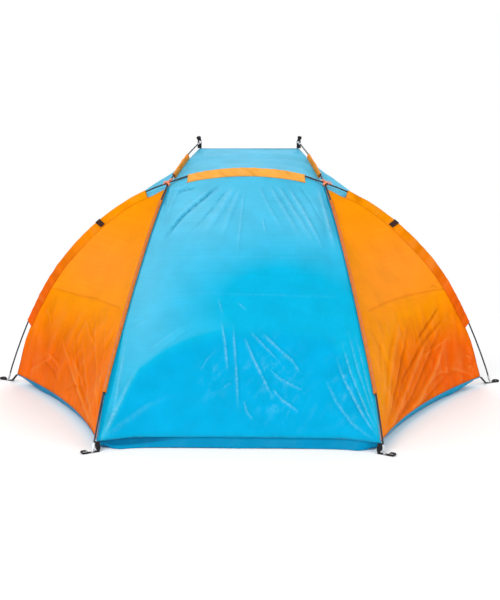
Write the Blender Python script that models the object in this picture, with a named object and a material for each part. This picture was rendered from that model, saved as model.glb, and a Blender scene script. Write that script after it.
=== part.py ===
"""Three-pole beach tent, standing pitched, with its open side towards -Y.

One long fibreglass pole arches from side foot to side foot. Two shorter poles
run from the rear feet, up the seams of the rear wall, under the arch and on to
the front corners of the awning. The cloth hangs from them in sewn sleeves.
Places are worked out as (sideways, ahead of the rear feet, up) in metres and
turned into world axes by placed(), where ahead becomes -Y.
"""

import math

import bmesh
import bpy
import numpy as np
from mathutils import Matrix, Vector

# Footprint and heights of the pitched tent
FOOT_SPAN = 2.2
REAR_SPAN = 1.074
SIDE_FOOT_AHEAD = 1.15
ARCH_HEIGHT = 0.977
ARCH_SETBACK = 0.16
TIP_SPAN = 0.455
TIP_AHEAD = 1.4
TIP_HEIGHT = 1.074

# Half of the arch from foot to top, as shares of half the span and of the height
arch_shares = (
    (1.0, 0.0),
    (0.968, 0.105),
    (0.895, 0.300),
    (0.804, 0.490),
    (0.745, 0.583),
    (0.672, 0.675),
    (0.585, 0.765),
    (0.470, 0.857),
    (0.395, 0.900),
    (0.312, 0.936),
    (0.225, 0.970),
    (0.110, 0.993),
    (0.0, 1.0),
)
# A long pole from its foot to the crossing, as shares of the crossing's place
rear_pole_shares = (
    (0.0, 0.0),
    (0.165, 0.214),
    (0.375, 0.437),
    (0.540, 0.603),
    (0.767, 0.815),
    (0.900, 0.927),
    (1.0, 1.0),
)
# The same pole from the crossing to its tip, as shares of the way left
front_pole_shares = ((0.6, 0.675), (1.0, 1.0))

# Poles, their ferrules, end caps and shock cords
POLE_RADIUS = 0.0035
POLE_BORE_RADIUS = 0.00175
CORD_RADIUS = 0.001
FERRULE_WALL = 0.0006
FERRULE_LENGTH = 0.07
CAP_LENGTH = 0.026
PIN_RADIUS = 0.0025
PIN_LENGTH = 0.009
FIT_GAP = 0.0003
CROSSING_GAP = 0.001
RIB_SPACING = 0.075
ARCH_SECTIONS = 6
LONG_SECTIONS = 3
ROUND_SIDES = 8
CORD_SIDES = 6

# Cloth and webbing
CLOTH_THICKNESS = 0.0008
WEBBING_THICKNESS = 0.0014
RIBBON_THICKNESS = 0.001
SEAM_GAP = 0.0013
LAYER_LIFT = 0.0017
SLEEVE_RADIUS = 0.0058

# Places along a pole as shares of its length, counted on the arch from its top
# to either foot and on a long pole from its foot to its tip
crossing_share = 0.2203
centre_sleeve_share = 0.1594
side_sleeve_top_share = 0.2841
side_sleeve_low_share = 0.8056
band_share = 0.443
side_corner_share = 0.964
rear_corner_share = 0.032
rear_sleeve_low_share = 0.135
rear_sleeve_high_share = 0.692
peak_share = 0.72
awning_sleeve_shares = (0.80, 0.908)

# Corners of the walls that hang free of the poles
REAR_CORNER_SPAN = 1.044
REAR_CORNER_AHEAD = 0.028
REAR_CORNER_HEIGHT = 0.036
SIDE_CORNER_SPAN = 2.094
SIDE_CORNER_AHEAD = 1.10
SIDE_CORNER_HEIGHT = 0.040
NOTCH_SPAN = 0.86
NOTCH_AHEAD = 0.99
NOTCH_HEIGHT = 0.853
loose_seam_share = 0.15
loose_edge_shares = (0.2, 0.6)

# Rear wall, side walls, awning and floor
wing_turn = 0.2
WALL_FOOT_HEIGHT = 0.040
REAR_FOOT_AHEAD = 0.078
SIDE_BOW = 0.055
EDGE_INSET = 0.050
PANEL_SAG = 0.012
FOLD_DEPTH = 0.004
PEAK_DROP = 0.010
RIDGE_DROP = 0.0066
RIDGE_DIP = 0.022
TIP_CORNER_DROP = 0.028
CREASE_DROP = 0.019
WING_SAG = 0.03
WING_END = 0.02
WING_LIFT = 0.0076
WING_LAP = 0.002
FLOOR_RISE_RUN = 0.012
FLOOR_LIP_DROP = 0.0006
FLOOR_FRONT_BOW = 0.03
rear_columns = 30
wing_columns = 10
awning_rows = 8
side_columns = 14
wall_rows = 18
lip_share = 0.012
floor_steps = (1, 2, 3, 5, 8, 11, 15)
net_step = 0.01

# Sleeves, bands and ties
SIDE_FIN_LAP = 0.010
SIDE_FIN_LIFT = 0.0018
CENTRE_FRONT_WIDTH = 0.028
CENTRE_REAR_WIDTH = 0.040
centre_layer_shares = (1.0, 0.6)
SEAM_SIDE_WIDTH = 0.015
SEAM_REAR_WIDTH = 0.004
AWNING_FIN_LIFT = 0.0012
AWNING_FIN_GAP = 0.0010
BAND_WIDTH = 0.025
BAND_REACH = 0.046
BAND_SKEW = 0.015
BAND_LIFT = 0.0048
BAND_RADIUS = 0.0079
TIE_WIDTH = 0.010
TIE_SIDE = 0.0125
TIE_GAP = 0.0007
sleeve_arc_steps = 6

# Inner pockets, in columns and rows of the side wall's own grid
POCKET_LIFT = 0.0017
POCKET_GAPE = 0.022
pocket_columns = (1, 13)
pocket_rows = (1, 8)

# Foot straps, peg loops and tip straps
STRAP_WIDTH = 0.02
STRAP_BACK = 0.024
STRAP_FRONT = 0.0115
STRAP_HOLE_RADIUS = 0.005
STRAP_TOP_GAP = 0.0016
STRAP_TOP_OUT = 0.0009
HINGE_REACH = 0.01165
PEG_LOOP_START = 0.0118
PEG_LOOP_END = 0.0435
LOOP_HEIGHT = 0.0105
LOOP_ROUND = 0.003
LOOP_JOIN = 0.0155
LOOP_CROWN = 0.024
LOOP_JOIN_HEIGHT = 0.0025
TIP_LOOP_RISE = 0.028
TIP_LOOP_JOIN = 0.010
PIN_HOLD = 0.005
CUT_OVERRUN = 0.01
rear_strap_way = (0.84, -0.54)
side_strap_way = (0.87, 0.49)

HEART_AHEAD = 1.35
HEART_UP = 0.3
PIN_LIFT = 0.0019

FINISHES = {}


def clear_scene():
    """Empties the scene of whatever it holds."""
    for item in list(bpy.data.objects):
        bpy.data.objects.remove(item, do_unlink=True)


def finish(name, colour, roughness, metallic=0.0):
    """A Principled material, made once for each name."""
    if name not in FINISHES:
        material = bpy.data.materials.new(name)
        material.use_nodes = True
        shader = material.node_tree.nodes["Principled BSDF"]
        shader.inputs["Base Color"].default_value = (*colour, 1.0)
        shader.inputs["Roughness"].default_value = roughness
        shader.inputs["Metallic"].default_value = metallic
        material.diffuse_color = (*colour, 1.0)
        FINISHES[name] = material
    return FINISHES[name]


def make_finishes():
    """The materials that the pieces use."""
    finish("blue_cloth", (0.09, 0.55, 0.85), 0.45)
    finish("orange_cloth", (0.95, 0.32, 0.02), 0.45)
    finish("floor_cloth", (0.02, 0.22, 0.38), 0.55)
    finish("black_webbing", (0.012, 0.011, 0.013), 0.8)
    finish("fibreglass", (0.03, 0.03, 0.035), 0.35)
    finish("steel", (0.62, 0.63, 0.65), 0.3, 1.0)
    finish("elastic", (0.75, 0.75, 0.72), 0.8)
    finish("salmon_ribbon", (0.85, 0.30, 0.16), 0.6)


def unit(vector):
    """The vector at length one."""
    return vector / np.linalg.norm(vector)


def blend(first, second, share):
    """The point a share of the way from the first to the second."""
    return (1 - share) * first + share * second


def smooth_step(share):
    """A ramp from 0 to 1 with flat ends."""
    share = min(max(share, 0.0), 1.0)
    return share * share * (3 - 2 * share)


def mirrored(point, side):
    """The point on the side of the tent that side (1 or -1) names."""
    return np.array([side * point[0], point[1], point[2]])


def placed(point):
    """World place of a (sideways, ahead, up) point."""
    return Vector((point[0], -point[1], point[2]))


def smooth_curve(knots, steps=24):
    """Points of a centripetal Catmull-Rom curve through the knots."""
    knots = np.array(knots, float)
    ends = (2 * knots[0] - knots[1], 2 * knots[-1] - knots[-2])
    padded = np.vstack([ends[0], knots, ends[1]])
    spans = np.sqrt(np.linalg.norm(np.diff(padded, axis=0), axis=1))
    times = np.concatenate([[0], np.cumsum(spans)])
    points = []
    for i in range(1, len(padded) - 2):
        p = padded[i - 1 : i + 3]
        t = times[i - 1 : i + 3]
        for now in np.linspace(t[1], t[2], steps, endpoint=False):
            a = [blend(p[k], p[k + 1], (now - t[k]) / (t[k + 1] - t[k])) for k in range(3)]
            b = [blend(a[k], a[k + 1], (now - t[k]) / (t[k + 2] - t[k])) for k in range(2)]
            points.append(blend(b[0], b[1], (now - t[1]) / (t[2] - t[1])))
    points.append(knots[-1])
    return np.array(points)


class Rib:
    """The centre line of a bent pole, as short straight runs."""

    def __init__(self, knots):
        fine = smooth_curve(knots)
        reach = np.concatenate([[0], np.cumsum(np.linalg.norm(np.diff(fine, axis=0), axis=1))])
        count = max(4, round(reach[-1] / RIB_SPACING))
        goals = np.linspace(0, reach[-1], count + 1)
        self.points = np.array([[np.interp(goal, reach, fine[:, k]) for k in range(3)] for goal in goals])
        lengths = np.linalg.norm(np.diff(self.points, axis=0), axis=1)
        runs = np.concatenate([[0], np.cumsum(lengths)])
        self.length = runs[-1]
        self.shares = runs / self.length

    def at(self, share):
        """The point at a share of the length."""
        return np.array([np.interp(share, self.shares, self.points[:, k]) for k in range(3)])

    def along(self, share):
        """The unit direction of travel at a share of the length."""
        reach = POLE_RADIUS / self.length
        low, high = max(share - reach, 0.0), min(share + reach, 1.0)
        return unit(self.at(high) - self.at(low))

    def square(self, share, vector):
        """The part of the vector that is square to the pole there, at length one."""
        along = self.along(share)
        return unit(vector - np.dot(vector, along) * along)

    def outward(self, share):
        """The unit direction away from the inside of the tent."""
        heart = np.array([0.0, HEART_AHEAD, HEART_UP])
        return self.square(share, self.at(share) - heart)

    def stations(self, first, last, finer=1):
        """Shares from first to last with each bend between them, each run cut finer if wanted."""
        margin = FERRULE_WALL / self.length
        ends = [first, *(s for s in self.shares if first + margin < s < last - margin), last]
        steps = np.arange(finer) / finer
        return [blend(a, b, step) for a, b in zip(ends, ends[1:]) for step in steps] + [last]


def build_arch():
    """The rib from the left foot over the top to the right foot."""
    half = [
        (
            side_share * FOOT_SPAN / 2,
            SIDE_FOOT_AHEAD - up_share * ARCH_SETBACK,
            blend(PIN_LIFT, ARCH_HEIGHT, up_share),
        )
        for side_share, up_share in arch_shares
    ]
    left = [(-x, ahead, up) for x, ahead, up in half]
    return Rib(left + half[-2::-1])


def arch_half(share):
    """The arch's own share for one counted from its top to the right foot."""
    return 0.5 + share / 2


def build_long_rib(arch):
    """The right-hand long pole, bent within the plane of its foot, crossing and tip."""
    foot = np.array([REAR_SPAN / 2, 0.0, PIN_LIFT])
    tip = np.array([TIP_SPAN / 2, TIP_AHEAD, TIP_HEIGHT])
    share = arch_half(crossing_share)
    apart = unit(np.cross(tip - foot, arch.along(share)))
    crossing = arch.at(share) - math.copysign(2 * POLE_RADIUS + CROSSING_GAP, apart[2]) * apart
    square = np.cross(crossing - foot, tip - foot)
    flat = [(a * crossing[1], blend(PIN_LIFT, crossing[2], z)) for a, z in rear_pole_shares]
    flat += [
        (blend(crossing[1], tip[1], a), blend(crossing[2], tip[2], z))
        for a, z in front_pole_shares
    ]
    knots = [
        (foot[0] - (square[1] * ahead + square[2] * (up - PIN_LIFT)) / square[0], ahead, up)
        for ahead, up in flat
    ]
    return Rib(knots)


def new_object(name, mesh, material):
    """Links a finished mesh into the scene under its own name."""
    data = bpy.data.meshes.new(name)
    mesh.to_mesh(data)
    mesh.free()
    data.materials.append(FINISHES[material])
    item = bpy.data.objects.new(name, data)
    bpy.context.scene.collection.objects.link(item)
    return item


def thicken(item, thickness):
    """Gives a sheet its thickness, half to each side."""
    solid = item.modifiers.new("thickness", "SOLIDIFY")
    solid.thickness = thickness
    solid.offset = 0.0
    solid.use_even_offset = True
    return item


def sheet(name, rows, side, material, thickness=CLOTH_THICKNESS):
    """A sheet through the given rows of points, mirrored if side is -1."""
    across = len(rows[0]) - 1
    up = len(rows) - 1
    mesh = bmesh.new()
    bmesh.ops.create_grid(mesh, x_segments=across, y_segments=up, size=0.5)
    for vertex in mesh.verts:
        row = rows[round((vertex.co.y + 0.5) * up)]
        vertex.co = placed(mirrored(row[round((vertex.co.x + 0.5) * across)], side))
    bmesh.ops.remove_doubles(mesh, verts=mesh.verts, dist=SEAM_GAP / 20)
    bmesh.ops.recalc_face_normals(mesh, faces=mesh.faces)
    return thicken(new_object(name, mesh, material), thickness)


def net(columns, rows, place):
    """Rows of points from place(u, v), with u and v from 0 to 1."""
    return [[place(i / columns, j / rows) for i in range(columns + 1)] for j in range(rows + 1)]


def wrapped(centre, along, out, ends, radius, steps):
    """A cross-section from the first end around the pole to the last, as tight as it goes."""
    first, last = ends
    across = unit(np.cross(along, out))
    if np.dot(first - centre, across) < 0:
        across = -across
    angles = []
    for point, sign in ((first, 1), (last, -1)):
        reach = (np.dot(point - centre, across), np.dot(point - centre, out))
        angles.append(math.atan2(*reach) - sign * math.acos(radius / math.hypot(*reach)))
    turns = np.linspace(angles[0], angles[1], steps)
    arc = [centre + radius * (math.cos(a) * out + math.sin(a) * across) for a in turns]
    return [first, *arc, last]


def swept(name, frames, outer, inner, sides, material):
    """A round bar, or a tube if inner isn't None, along a run of frames."""
    mesh = bmesh.new()
    ring = bmesh.ops.create_circle(mesh, segments=sides, radius=outer, cap_ends=inner is None)
    if inner is not None:
        hole = bmesh.ops.create_circle(mesh, segments=sides, radius=inner)
        rim = {edge for vertex in ring["verts"] + hole["verts"] for edge in vertex.link_edges}
        bmesh.ops.bridge_loops(mesh, edges=list(rim))
    bmesh.ops.transform(mesh, matrix=frames[0], verts=mesh.verts)
    cap = [*mesh.verts, *mesh.edges, *mesh.faces]
    for before, after in zip(frames, frames[1:]):
        cap = bmesh.ops.extrude_face_region(mesh, geom=cap)["geom"]
        fresh = [part for part in cap if isinstance(part, bmesh.types.BMVert)]
        bmesh.ops.transform(mesh, matrix=after @ before.inverted(), verts=fresh)
    bmesh.ops.recalc_face_normals(mesh, faces=mesh.faces)
    item = new_object(name, mesh, material)
    item.data.shade_smooth()
    item.data.set_sharp_from_angle(angle=math.radians(40))
    return item


def frame_at(rib, share, side):
    """The world frame at a share of a rib, with Z along it and X outwards."""
    along = placed(mirrored(rib.along(share), side))
    out = placed(mirrored(rib.outward(share), side))
    turn = Matrix((out, along.cross(out).normalized(), along)).transposed().to_4x4()
    return Matrix.Translation(placed(mirrored(rib.at(share), side))) @ turn


def frames_along(rib, first, last, side):
    """World frames at the bends of a rib between two shares."""
    return [frame_at(rib, share, side) for share in rib.stations(first, last)]


def turned(name, profile, frame, material):
    """A turned piece: its (radius, height) outline spun about the frame's Z axis."""
    mesh = bmesh.new()
    corners = [mesh.verts.new((radius, 0.0, height)) for radius, height in profile]
    edges = [mesh.edges.new(pair) for pair in zip(corners, corners[1:])]
    bmesh.ops.spin(
        mesh,
        geom=corners + edges,
        axis=(0, 0, 1),
        cent=(0, 0, 0),
        angle=math.tau,
        steps=ROUND_SIDES,
        use_merge=True,
    )
    bmesh.ops.remove_doubles(mesh, verts=mesh.verts, dist=CLOTH_THICKNESS / 100)
    bmesh.ops.recalc_face_normals(mesh, faces=mesh.faces)
    bmesh.ops.transform(mesh, matrix=frame, verts=mesh.verts)
    item = new_object(name, mesh, material)
    item.data.shade_smooth()
    item.data.set_sharp_from_angle(angle=math.radians(40))
    return item


def pole_pieces(label, rib, sections, side):
    """The tube sections, ferrules, end caps and shock cord of one pole."""
    cap_share = CAP_LENGTH / rib.length
    pin_share = PIN_LENGTH / rib.length
    gap_share = FIT_GAP / rib.length
    half_ferrule = FERRULE_LENGTH / 2 / rib.length
    ends = (pin_share + cap_share / 3, 1 - pin_share - cap_share / 3)
    joints = np.linspace(ends[0], ends[1], sections + 1)
    for i in range(sections):
        first = joints[i] + gap_share / 2
        last = joints[i + 1] - gap_share / 2
        frames = frames_along(rib, first, last, side)
        swept(f"{label}_section_{i + 1}", frames, POLE_RADIUS, POLE_BORE_RADIUS, ROUND_SIDES, "fibreglass")
    inner = POLE_RADIUS + FIT_GAP
    for i, joint in enumerate(joints[1:-1]):
        frames = frames_along(rib, joint - half_ferrule, joint + half_ferrule, side)
        swept(f"{label}_ferrule_{i + 1}", frames, inner + FERRULE_WALL, inner, ROUND_SIDES, "steel")
    floor = PIN_LENGTH + CAP_LENGTH / 3 - FIT_GAP
    profile = (
        (0.0, 0.0),
        (PIN_RADIUS, 0.0),
        (PIN_RADIUS, PIN_LENGTH),
        (inner + FERRULE_WALL, PIN_LENGTH),
        (inner + FERRULE_WALL, PIN_LENGTH + CAP_LENGTH),
        (inner, PIN_LENGTH + CAP_LENGTH),
        (inner, floor),
        (0.0, floor),
    )
    back = Matrix.Translation((0, 0, -floor - FIT_GAP))
    first_frame = frame_at(rib, ends[0], side) @ back
    last_frame = frame_at(rib, ends[1], side) @ Matrix.Rotation(math.pi, 4, "X") @ back
    for place, frame in (("start", first_frame), ("end", last_frame)):
        turned(f"{label}_{place}_cap", profile, frame, "steel")
    frames = frames_along(rib, ends[0] + gap_share / 2, ends[1] - gap_share / 2, side)
    swept(f"{label}_shock_cord", frames, CORD_RADIUS, None, CORD_SIDES, "elastic")


class Shell:
    """The lines and surfaces of the right-hand half that the cloth pieces share."""

    def __init__(self, arch, long_rib):
        self.arch = arch
        self.long_rib = long_rib
        self.corner_rear = np.array([REAR_CORNER_SPAN / 2, REAR_CORNER_AHEAD, REAR_CORNER_HEIGHT])
        self.corner_side = np.array([SIDE_CORNER_SPAN / 2, SIDE_CORNER_AHEAD, SIDE_CORNER_HEIGHT])
        self.notch = np.array([NOTCH_SPAN / 2, NOTCH_AHEAD, NOTCH_HEIGHT])
        self.peak = self.seam(1.0)
        self.tip_hold = long_rib.at(1 - PIN_HOLD / long_rib.length)
        self.tip_corner = self.tip_hold - np.array([0.0, 0.0, TIP_CORNER_DROP])
        self.ridge_knots = self.build_ridge()

    def held_seam(self, v):
        """The seam as if it followed the pole all the way down."""
        share = blend(rear_corner_share, peak_share, v)
        high = rear_sleeve_high_share / peak_share
        drop = blend(RIDGE_DROP, PEAK_DROP, smooth_step((v - high) / (1 - high)))
        return self.long_rib.at(share) - drop * self.long_rib.outward(share)

    def seam(self, v):
        """The seam of rear and side wall, from its foot corner to the peak."""
        loose = 1 - smooth_step(v / loose_seam_share)
        return self.held_seam(v) + loose * (self.corner_rear - self.held_seam(0.0))

    def held_edge(self, v):
        """The side wall's front edge as if it followed the arch all the way."""
        share = arch_half(blend(side_corner_share, side_sleeve_top_share, v))
        point = self.arch.at(share)
        return point + EDGE_INSET * self.arch.square(share, self.seam(v) - point)

    def arch_edge(self, v):
        """The side wall's front edge, from its foot corner up to the end of its sleeve."""
        low, high = loose_edge_shares
        foot = 1 - smooth_step(v / low)
        top = smooth_step((v - high) / (1 - high))
        edge = self.held_edge(v) + foot * (self.corner_side - self.held_edge(0.0))
        return edge + top * (self.notch - self.held_edge(1.0))

    def fin(self, share, edge=None):
        """The arch's place, and the ways to the side wall's edge and into the tent, at a half share."""
        own = arch_half(share)
        centre = self.arch.at(own)
        if edge is None:
            span = side_corner_share - side_sleeve_top_share
            edge = self.arch_edge((side_corner_share - share) / span)
        way = unit(edge - centre)
        inner = unit(np.cross(self.arch.along(own), way))
        return centre, way, inner * math.copysign(1.0, inner[1])

    def side_foot(self, u):
        """The bottom edge of the side wall, from the rear corner to the side corner."""
        straight = blend(self.corner_rear, self.corner_side, u)
        run = self.corner_side - self.corner_rear
        inward = unit(np.array([-run[1], run[0], 0.0]))
        bow = 4 * u * (1 - u)
        rise = bow * (WALL_FOOT_HEIGHT - straight[2])
        return straight + SIDE_BOW * bow * inward + np.array([0.0, 0.0, rise])

    def side_top(self, u):
        """The top edge of the side wall, from the peak to the end of its sleeve."""
        return blend(self.peak, self.arch_edge(1.0), u)

    def side_plain(self, u, v):
        """The side wall without folds: u from seam to arch, v upwards."""
        across = blend(self.seam(v), self.arch_edge(v), u)
        upward = blend(self.side_foot(u), self.side_top(u), v)
        low = blend(self.corner_rear, self.corner_side, u)
        high = blend(self.peak, self.arch_edge(1.0), u)
        return across + upward - blend(low, high, v)

    def side_wall(self, u, v):
        """The side wall with its sag and main folds."""
        inward = self.side_inward(u, v)
        bump = 16 * u * (1 - u) * v * (1 - v)
        fan = math.sin(math.atan2(v, u + PANEL_SAG) * 18) * smooth_step(1.6 - 2 * (u + v))
        sag = PANEL_SAG * bump + FOLD_DEPTH * fan * min(1.0, 4 * u) * min(1.0, 6 * v)
        return self.side_plain(u, v) + sag * inward

    def side_inward(self, u, v):
        """The unit direction from the side wall into the tent."""
        step = 0.02
        du = self.side_plain(min(u + step, 1.0), v) - self.side_plain(max(u - step, 0.0), v)
        dv = self.side_plain(u, min(v + step, 1.0)) - self.side_plain(u, max(v - step, 0.0))
        return unit(np.cross(dv, du))

    def rear_foot(self, u):
        """The bottom edge of the rear wall, with u from the left corner to the right."""
        corner = self.corner_rear
        bow = 1 - (2 * u - 1) ** 2
        ahead = blend(corner[1], REAR_FOOT_AHEAD, smooth_step(2 * bow))
        up = blend(corner[2], WALL_FOOT_HEIGHT, bow)
        return np.array([(2 * u - 1) * corner[0], ahead, up])

    def build_ridge(self):
        """Points of the cloth's ridge, from the middle of the arch to the peak."""
        points = []
        beyond = blend(centre_sleeve_share, crossing_share, 0.25)
        for share in (0.0, beyond / 2, beyond):
            own = arch_half(share)
            points.append(self.arch.at(own) - RIDGE_DROP * self.arch.outward(own))
        own = arch_half(blend(centre_sleeve_share, crossing_share, 0.75))
        under = self.arch.at(own) - RIDGE_DIP * self.arch.outward(own)
        points.append(blend(under, self.peak, 0.12))
        points.append(self.peak)
        return np.array(points)

    def ridge(self, reach):
        """The ridge at a reach from 0 in the middle to 1 at the peak."""
        runs = np.linalg.norm(np.diff(self.ridge_knots, axis=0), axis=1)
        shares = np.concatenate([[0], np.cumsum(runs)]) / runs.sum()
        left = [mirrored(point, -1) for point in self.ridge_knots[:0:-1]]
        line = smooth_curve(left + list(self.ridge_knots), 8)
        middle = len(left) * 8
        line = line[middle:]
        runs = np.concatenate([[0], np.cumsum(np.linalg.norm(np.diff(line, axis=0), axis=1))])
        return np.array([np.interp(reach * runs[-1], runs, line[:, k]) for k in range(3)])

    def ridge_across(self, u):
        """The ridge with u from the left peak (0) to the right one (1)."""
        side = 1 if u >= 0.5 else -1
        return mirrored(self.ridge(abs(2 * u - 1)), side)

    def rear_plain(self, u, v):
        """The rear wall without folds: u from left to right, v upwards."""
        left = mirrored(self.seam(v), -1)
        across = blend(left, self.seam(v), u)
        upward = blend(self.rear_foot(u), self.ridge_across(u), v)
        low = blend(mirrored(self.corner_rear, -1), self.corner_rear, u)
        high = blend(mirrored(self.peak, -1), self.peak, u)
        return across + upward - blend(low, high, v)

    def rear_wall(self, u, v):
        """The rear wall with its sag, the pleats under the ridge and the fans at its feet."""
        bump = 16 * u * (1 - u) * v * (1 - v)
        from_middle = abs(2 * u - 1)
        pleats = math.cos(from_middle * 22) * smooth_step(4 * (v - 0.6)) * smooth_step(8 * (1 - v))
        angle = math.atan2(v, 1 - from_middle + PANEL_SAG)
        fan = math.sin(angle * 16) * smooth_step(1.3 - v - 1.2 * (1 - from_middle))
        edge = min(1.0, 6 * (1 - from_middle)) * min(1.0, 8 * v) * min(1.0, 8 * (1 - v))
        sag = PANEL_SAG * bump + FOLD_DEPTH * edge * (0.7 * pleats + fan)
        inward = np.array([0.0, 1.0, -1.0]) / math.sqrt(2)
        return self.rear_plain(u, v) + sag * inward

    def crease(self, v):
        """The awning's crease below a long pole, from the peak to the tip corner."""
        rib = self.long_rib
        share = blend(peak_share, 1.0, v)
        along = blend(self.peak, self.tip_corner, v)
        near_peak = max(0.0, 1 - v / 0.25)
        lift = rib.at(share) - along
        drop = blend(CREASE_DROP, TIP_CORNER_DROP, smooth_step(3 * v - 2))
        drop = blend(drop, PEAK_DROP, smooth_step(near_peak))
        held = rib.at(share) - drop * rib.outward(share)
        return blend(held, along, smooth_step(6 * v - 5) if lift[2] > 0 else 0.0)

    def wing_rear(self, share):
        """The awning's rear edge beyond the peak: 0 at the peak, 1 at the band."""
        centre, way, inner = self.fin(side_sleeve_top_share)
        beyond = -WING_LAP * self.arch.along(arch_half(side_sleeve_top_share))
        start = self.notch + (SIDE_FIN_LIFT + 2 * SEAM_GAP) * inner + beyond
        if share < wing_turn:
            return blend(self.peak, start, share / wing_turn)
        half = self.arch.length / 2
        last = band_share - (BAND_WIDTH / 2 + SEAM_GAP) / half
        centre, way, inner = self.fin(blend(side_sleeve_top_share, last, (share - wing_turn) / (1 - wing_turn)))
        return centre + WING_LIFT * inner

    def wing_front(self, share):
        """The awning's free side edge: 0 at the tip corner, 1 at the band."""
        centre, way, inner = self.fin(band_share)
        end = self.wing_rear(1.0) + WING_END * unit(inner - way)
        sag = WING_SAG * 4 * share * (1 - share)
        return blend(self.tip_corner, end, share) - np.array([0.0, sag, sag])

    def awning(self, reach, v):
        """The awning: reach is 0 in the middle, 1 at a peak and 2 at a band, v runs forward."""
        width = abs(reach)
        if width <= 1:
            rear = self.ridge(width)
            front = blend(np.array([0.0, *self.tip_corner[1:]]), self.tip_corner, width)
        else:
            rear = self.wing_rear(width - 1)
            front = self.wing_front(width - 1)
        lift = self.crease(v) - blend(self.peak, self.tip_corner, v)
        near = smooth_step(1 - abs(width - 1) / 0.9)
        return mirrored(blend(rear, front, v) + near * lift, math.copysign(1.0, reach))

    def lip(self, point):
        """The place of the floor's lip under a bottom edge of the walls."""
        return point - np.array([0.0, 0.0, FLOOR_LIP_DROP])

    def floor(self, u, v):
        """The floor, with its lip turned up below the walls: u across, v from rear to front."""
        side = 1 if u >= 0.5 else -1
        width = abs(2 * u - 1)
        rear = self.lip(self.rear_foot(u))
        edge = self.lip(self.side_foot(v))
        front = self.lip(self.side_foot(1.0))
        corner = self.lip(self.corner_rear)
        sag = FLOOR_FRONT_BOW * (1 - width**2)
        across = np.array([side * width * edge[0], edge[1], edge[2]])
        upward = blend(rear, np.array([side * width * front[0], front[1] - sag, front[2]]), v)
        low = np.array([side * width * corner[0], corner[1], corner[2]])
        high = np.array([side * width * front[0], front[1], front[2]])
        point = across + upward - blend(low, high, v)
        flat = min(smooth_step((1 - width) * FOOT_SPAN / 2 / FLOOR_RISE_RUN), 1.0)
        if v < 1:
            flat *= smooth_step(v * SIDE_FOOT_AHEAD / FLOOR_RISE_RUN)
        return np.array([point[0], point[1], blend(point[2], CLOTH_THICKNESS / 2, flat)])


def trimmed(value, width):
    """A share drawn in at both ends by half the seam gap."""
    trim = SEAM_GAP / 2 / width
    return blend(trim, 1 - trim, value)


class Cloths:
    """The grids of points of the rear wall, the right side wall and the awning."""

    def __init__(self, shell):
        self.shell = shell
        self.height = np.linalg.norm(shell.peak - shell.corner_rear)
        self.rear = net(rear_columns, wall_rows, self.rear_place)
        self.side = net(side_columns, wall_rows, self.side_place)
        depth = TIP_AHEAD - shell.peak[1]
        half = [i / rear_columns * 2 for i in range(rear_columns // 2 + 1)]
        half += [1 + i / wing_columns for i in range(1, wing_columns + 1)]
        reaches = [-reach for reach in half[:0:-1]] + half
        steps = [blend(SEAM_GAP / depth, 1.0, j / awning_rows) for j in range(awning_rows + 1)]
        self.awning = [[shell.awning(reach, v) for reach in reaches] for v in steps]
        self.roof = [row[wing_columns : wing_columns + rear_columns + 1] for row in self.awning]

    def rear_place(self, u, v):
        """The rear wall's place with its edges drawn in for the seams."""
        return self.shell.rear_wall(trimmed(u, 2 * self.shell.peak[0]), trimmed(v, self.height))

    def side_place(self, u, v):
        """The side wall's place with its edges drawn in for the seams."""
        width = np.linalg.norm(self.shell.corner_side - self.shell.corner_rear)
        return self.shell.side_wall(trimmed(u, width), trimmed(v, self.height))


def on_net(rows, u, v):
    """The place on a grid of points, with u and v from 0 to 1."""
    high, wide = len(rows) - 1, len(rows[0]) - 1
    x, y = min(max(u, 0.0), 1.0) * wide, min(max(v, 0.0), 1.0) * high
    i, j = min(int(x), wide - 1), min(int(y), high - 1)
    low = blend(rows[j][i], rows[j][i + 1], x - i)
    return blend(low, blend(rows[j + 1][i], rows[j + 1][i + 1], x - i), y - j)


def net_normal(rows, u, v):
    """The unit direction square to a grid of points, by the right-hand rule from u to v."""
    step = net_step
    along = on_net(rows, u + step, v) - on_net(rows, u - step, v)
    up = on_net(rows, u, v + step) - on_net(rows, u, v - step)
    return unit(np.cross(along, up))


def over_net(rows, u, v):
    """The place of a second layer on the outside of a grid of points."""
    return on_net(rows, u, v) + LAYER_LIFT * net_normal(rows, u, v)


def walls(shell, cloths):
    """The rear wall, the two side walls, the awning and the floor."""
    sheet("rear_panel", cloths.rear, 1, "blue_cloth")
    sheet("awning", cloths.awning, 1, "blue_cloth")
    half = [0, lip_share / 2] + [i / rear_columns for i in floor_steps]
    across = half + [1 - share for share in half[-2::-1]]
    ahead = [0, lip_share] + [i / side_columns for i in range(1, side_columns + 1)]
    ground = [[shell.floor(u, v) for u in across] for v in ahead]
    sheet("floor", ground, 1, "floor_cloth")
    for label, side in (("left", -1), ("right", 1)):
        sheet(f"{label}_side_panel", cloths.side, side, "orange_cloth")


def pockets(cloths):
    """The open-topped pockets sewn inside the side walls."""
    wall = np.array(cloths.side)
    first, last = pocket_columns
    low, high = pocket_rows
    rows = []
    for j in range(low, high + 1):
        row = []
        for i in range(first, last + 1):
            run = wall[j, min(i + 1, last)] - wall[j, max(i - 1, first)]
            rise = wall[min(j + 1, high), i] - wall[max(j - 1, low), i]
            way = unit(np.cross(rise, run))
            bow = math.sin(math.pi * (i - first) / (last - first)) * ((j - low) / (high - low)) ** 2
            row.append(wall[j, i] + (POCKET_LIFT + POCKET_GAPE * bow) * way)
        rows.append(row)
    for label, side in (("left", -1), ("right", 1)):
        sheet(f"{label}_inner_pocket", rows, side, "orange_cloth")


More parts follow.
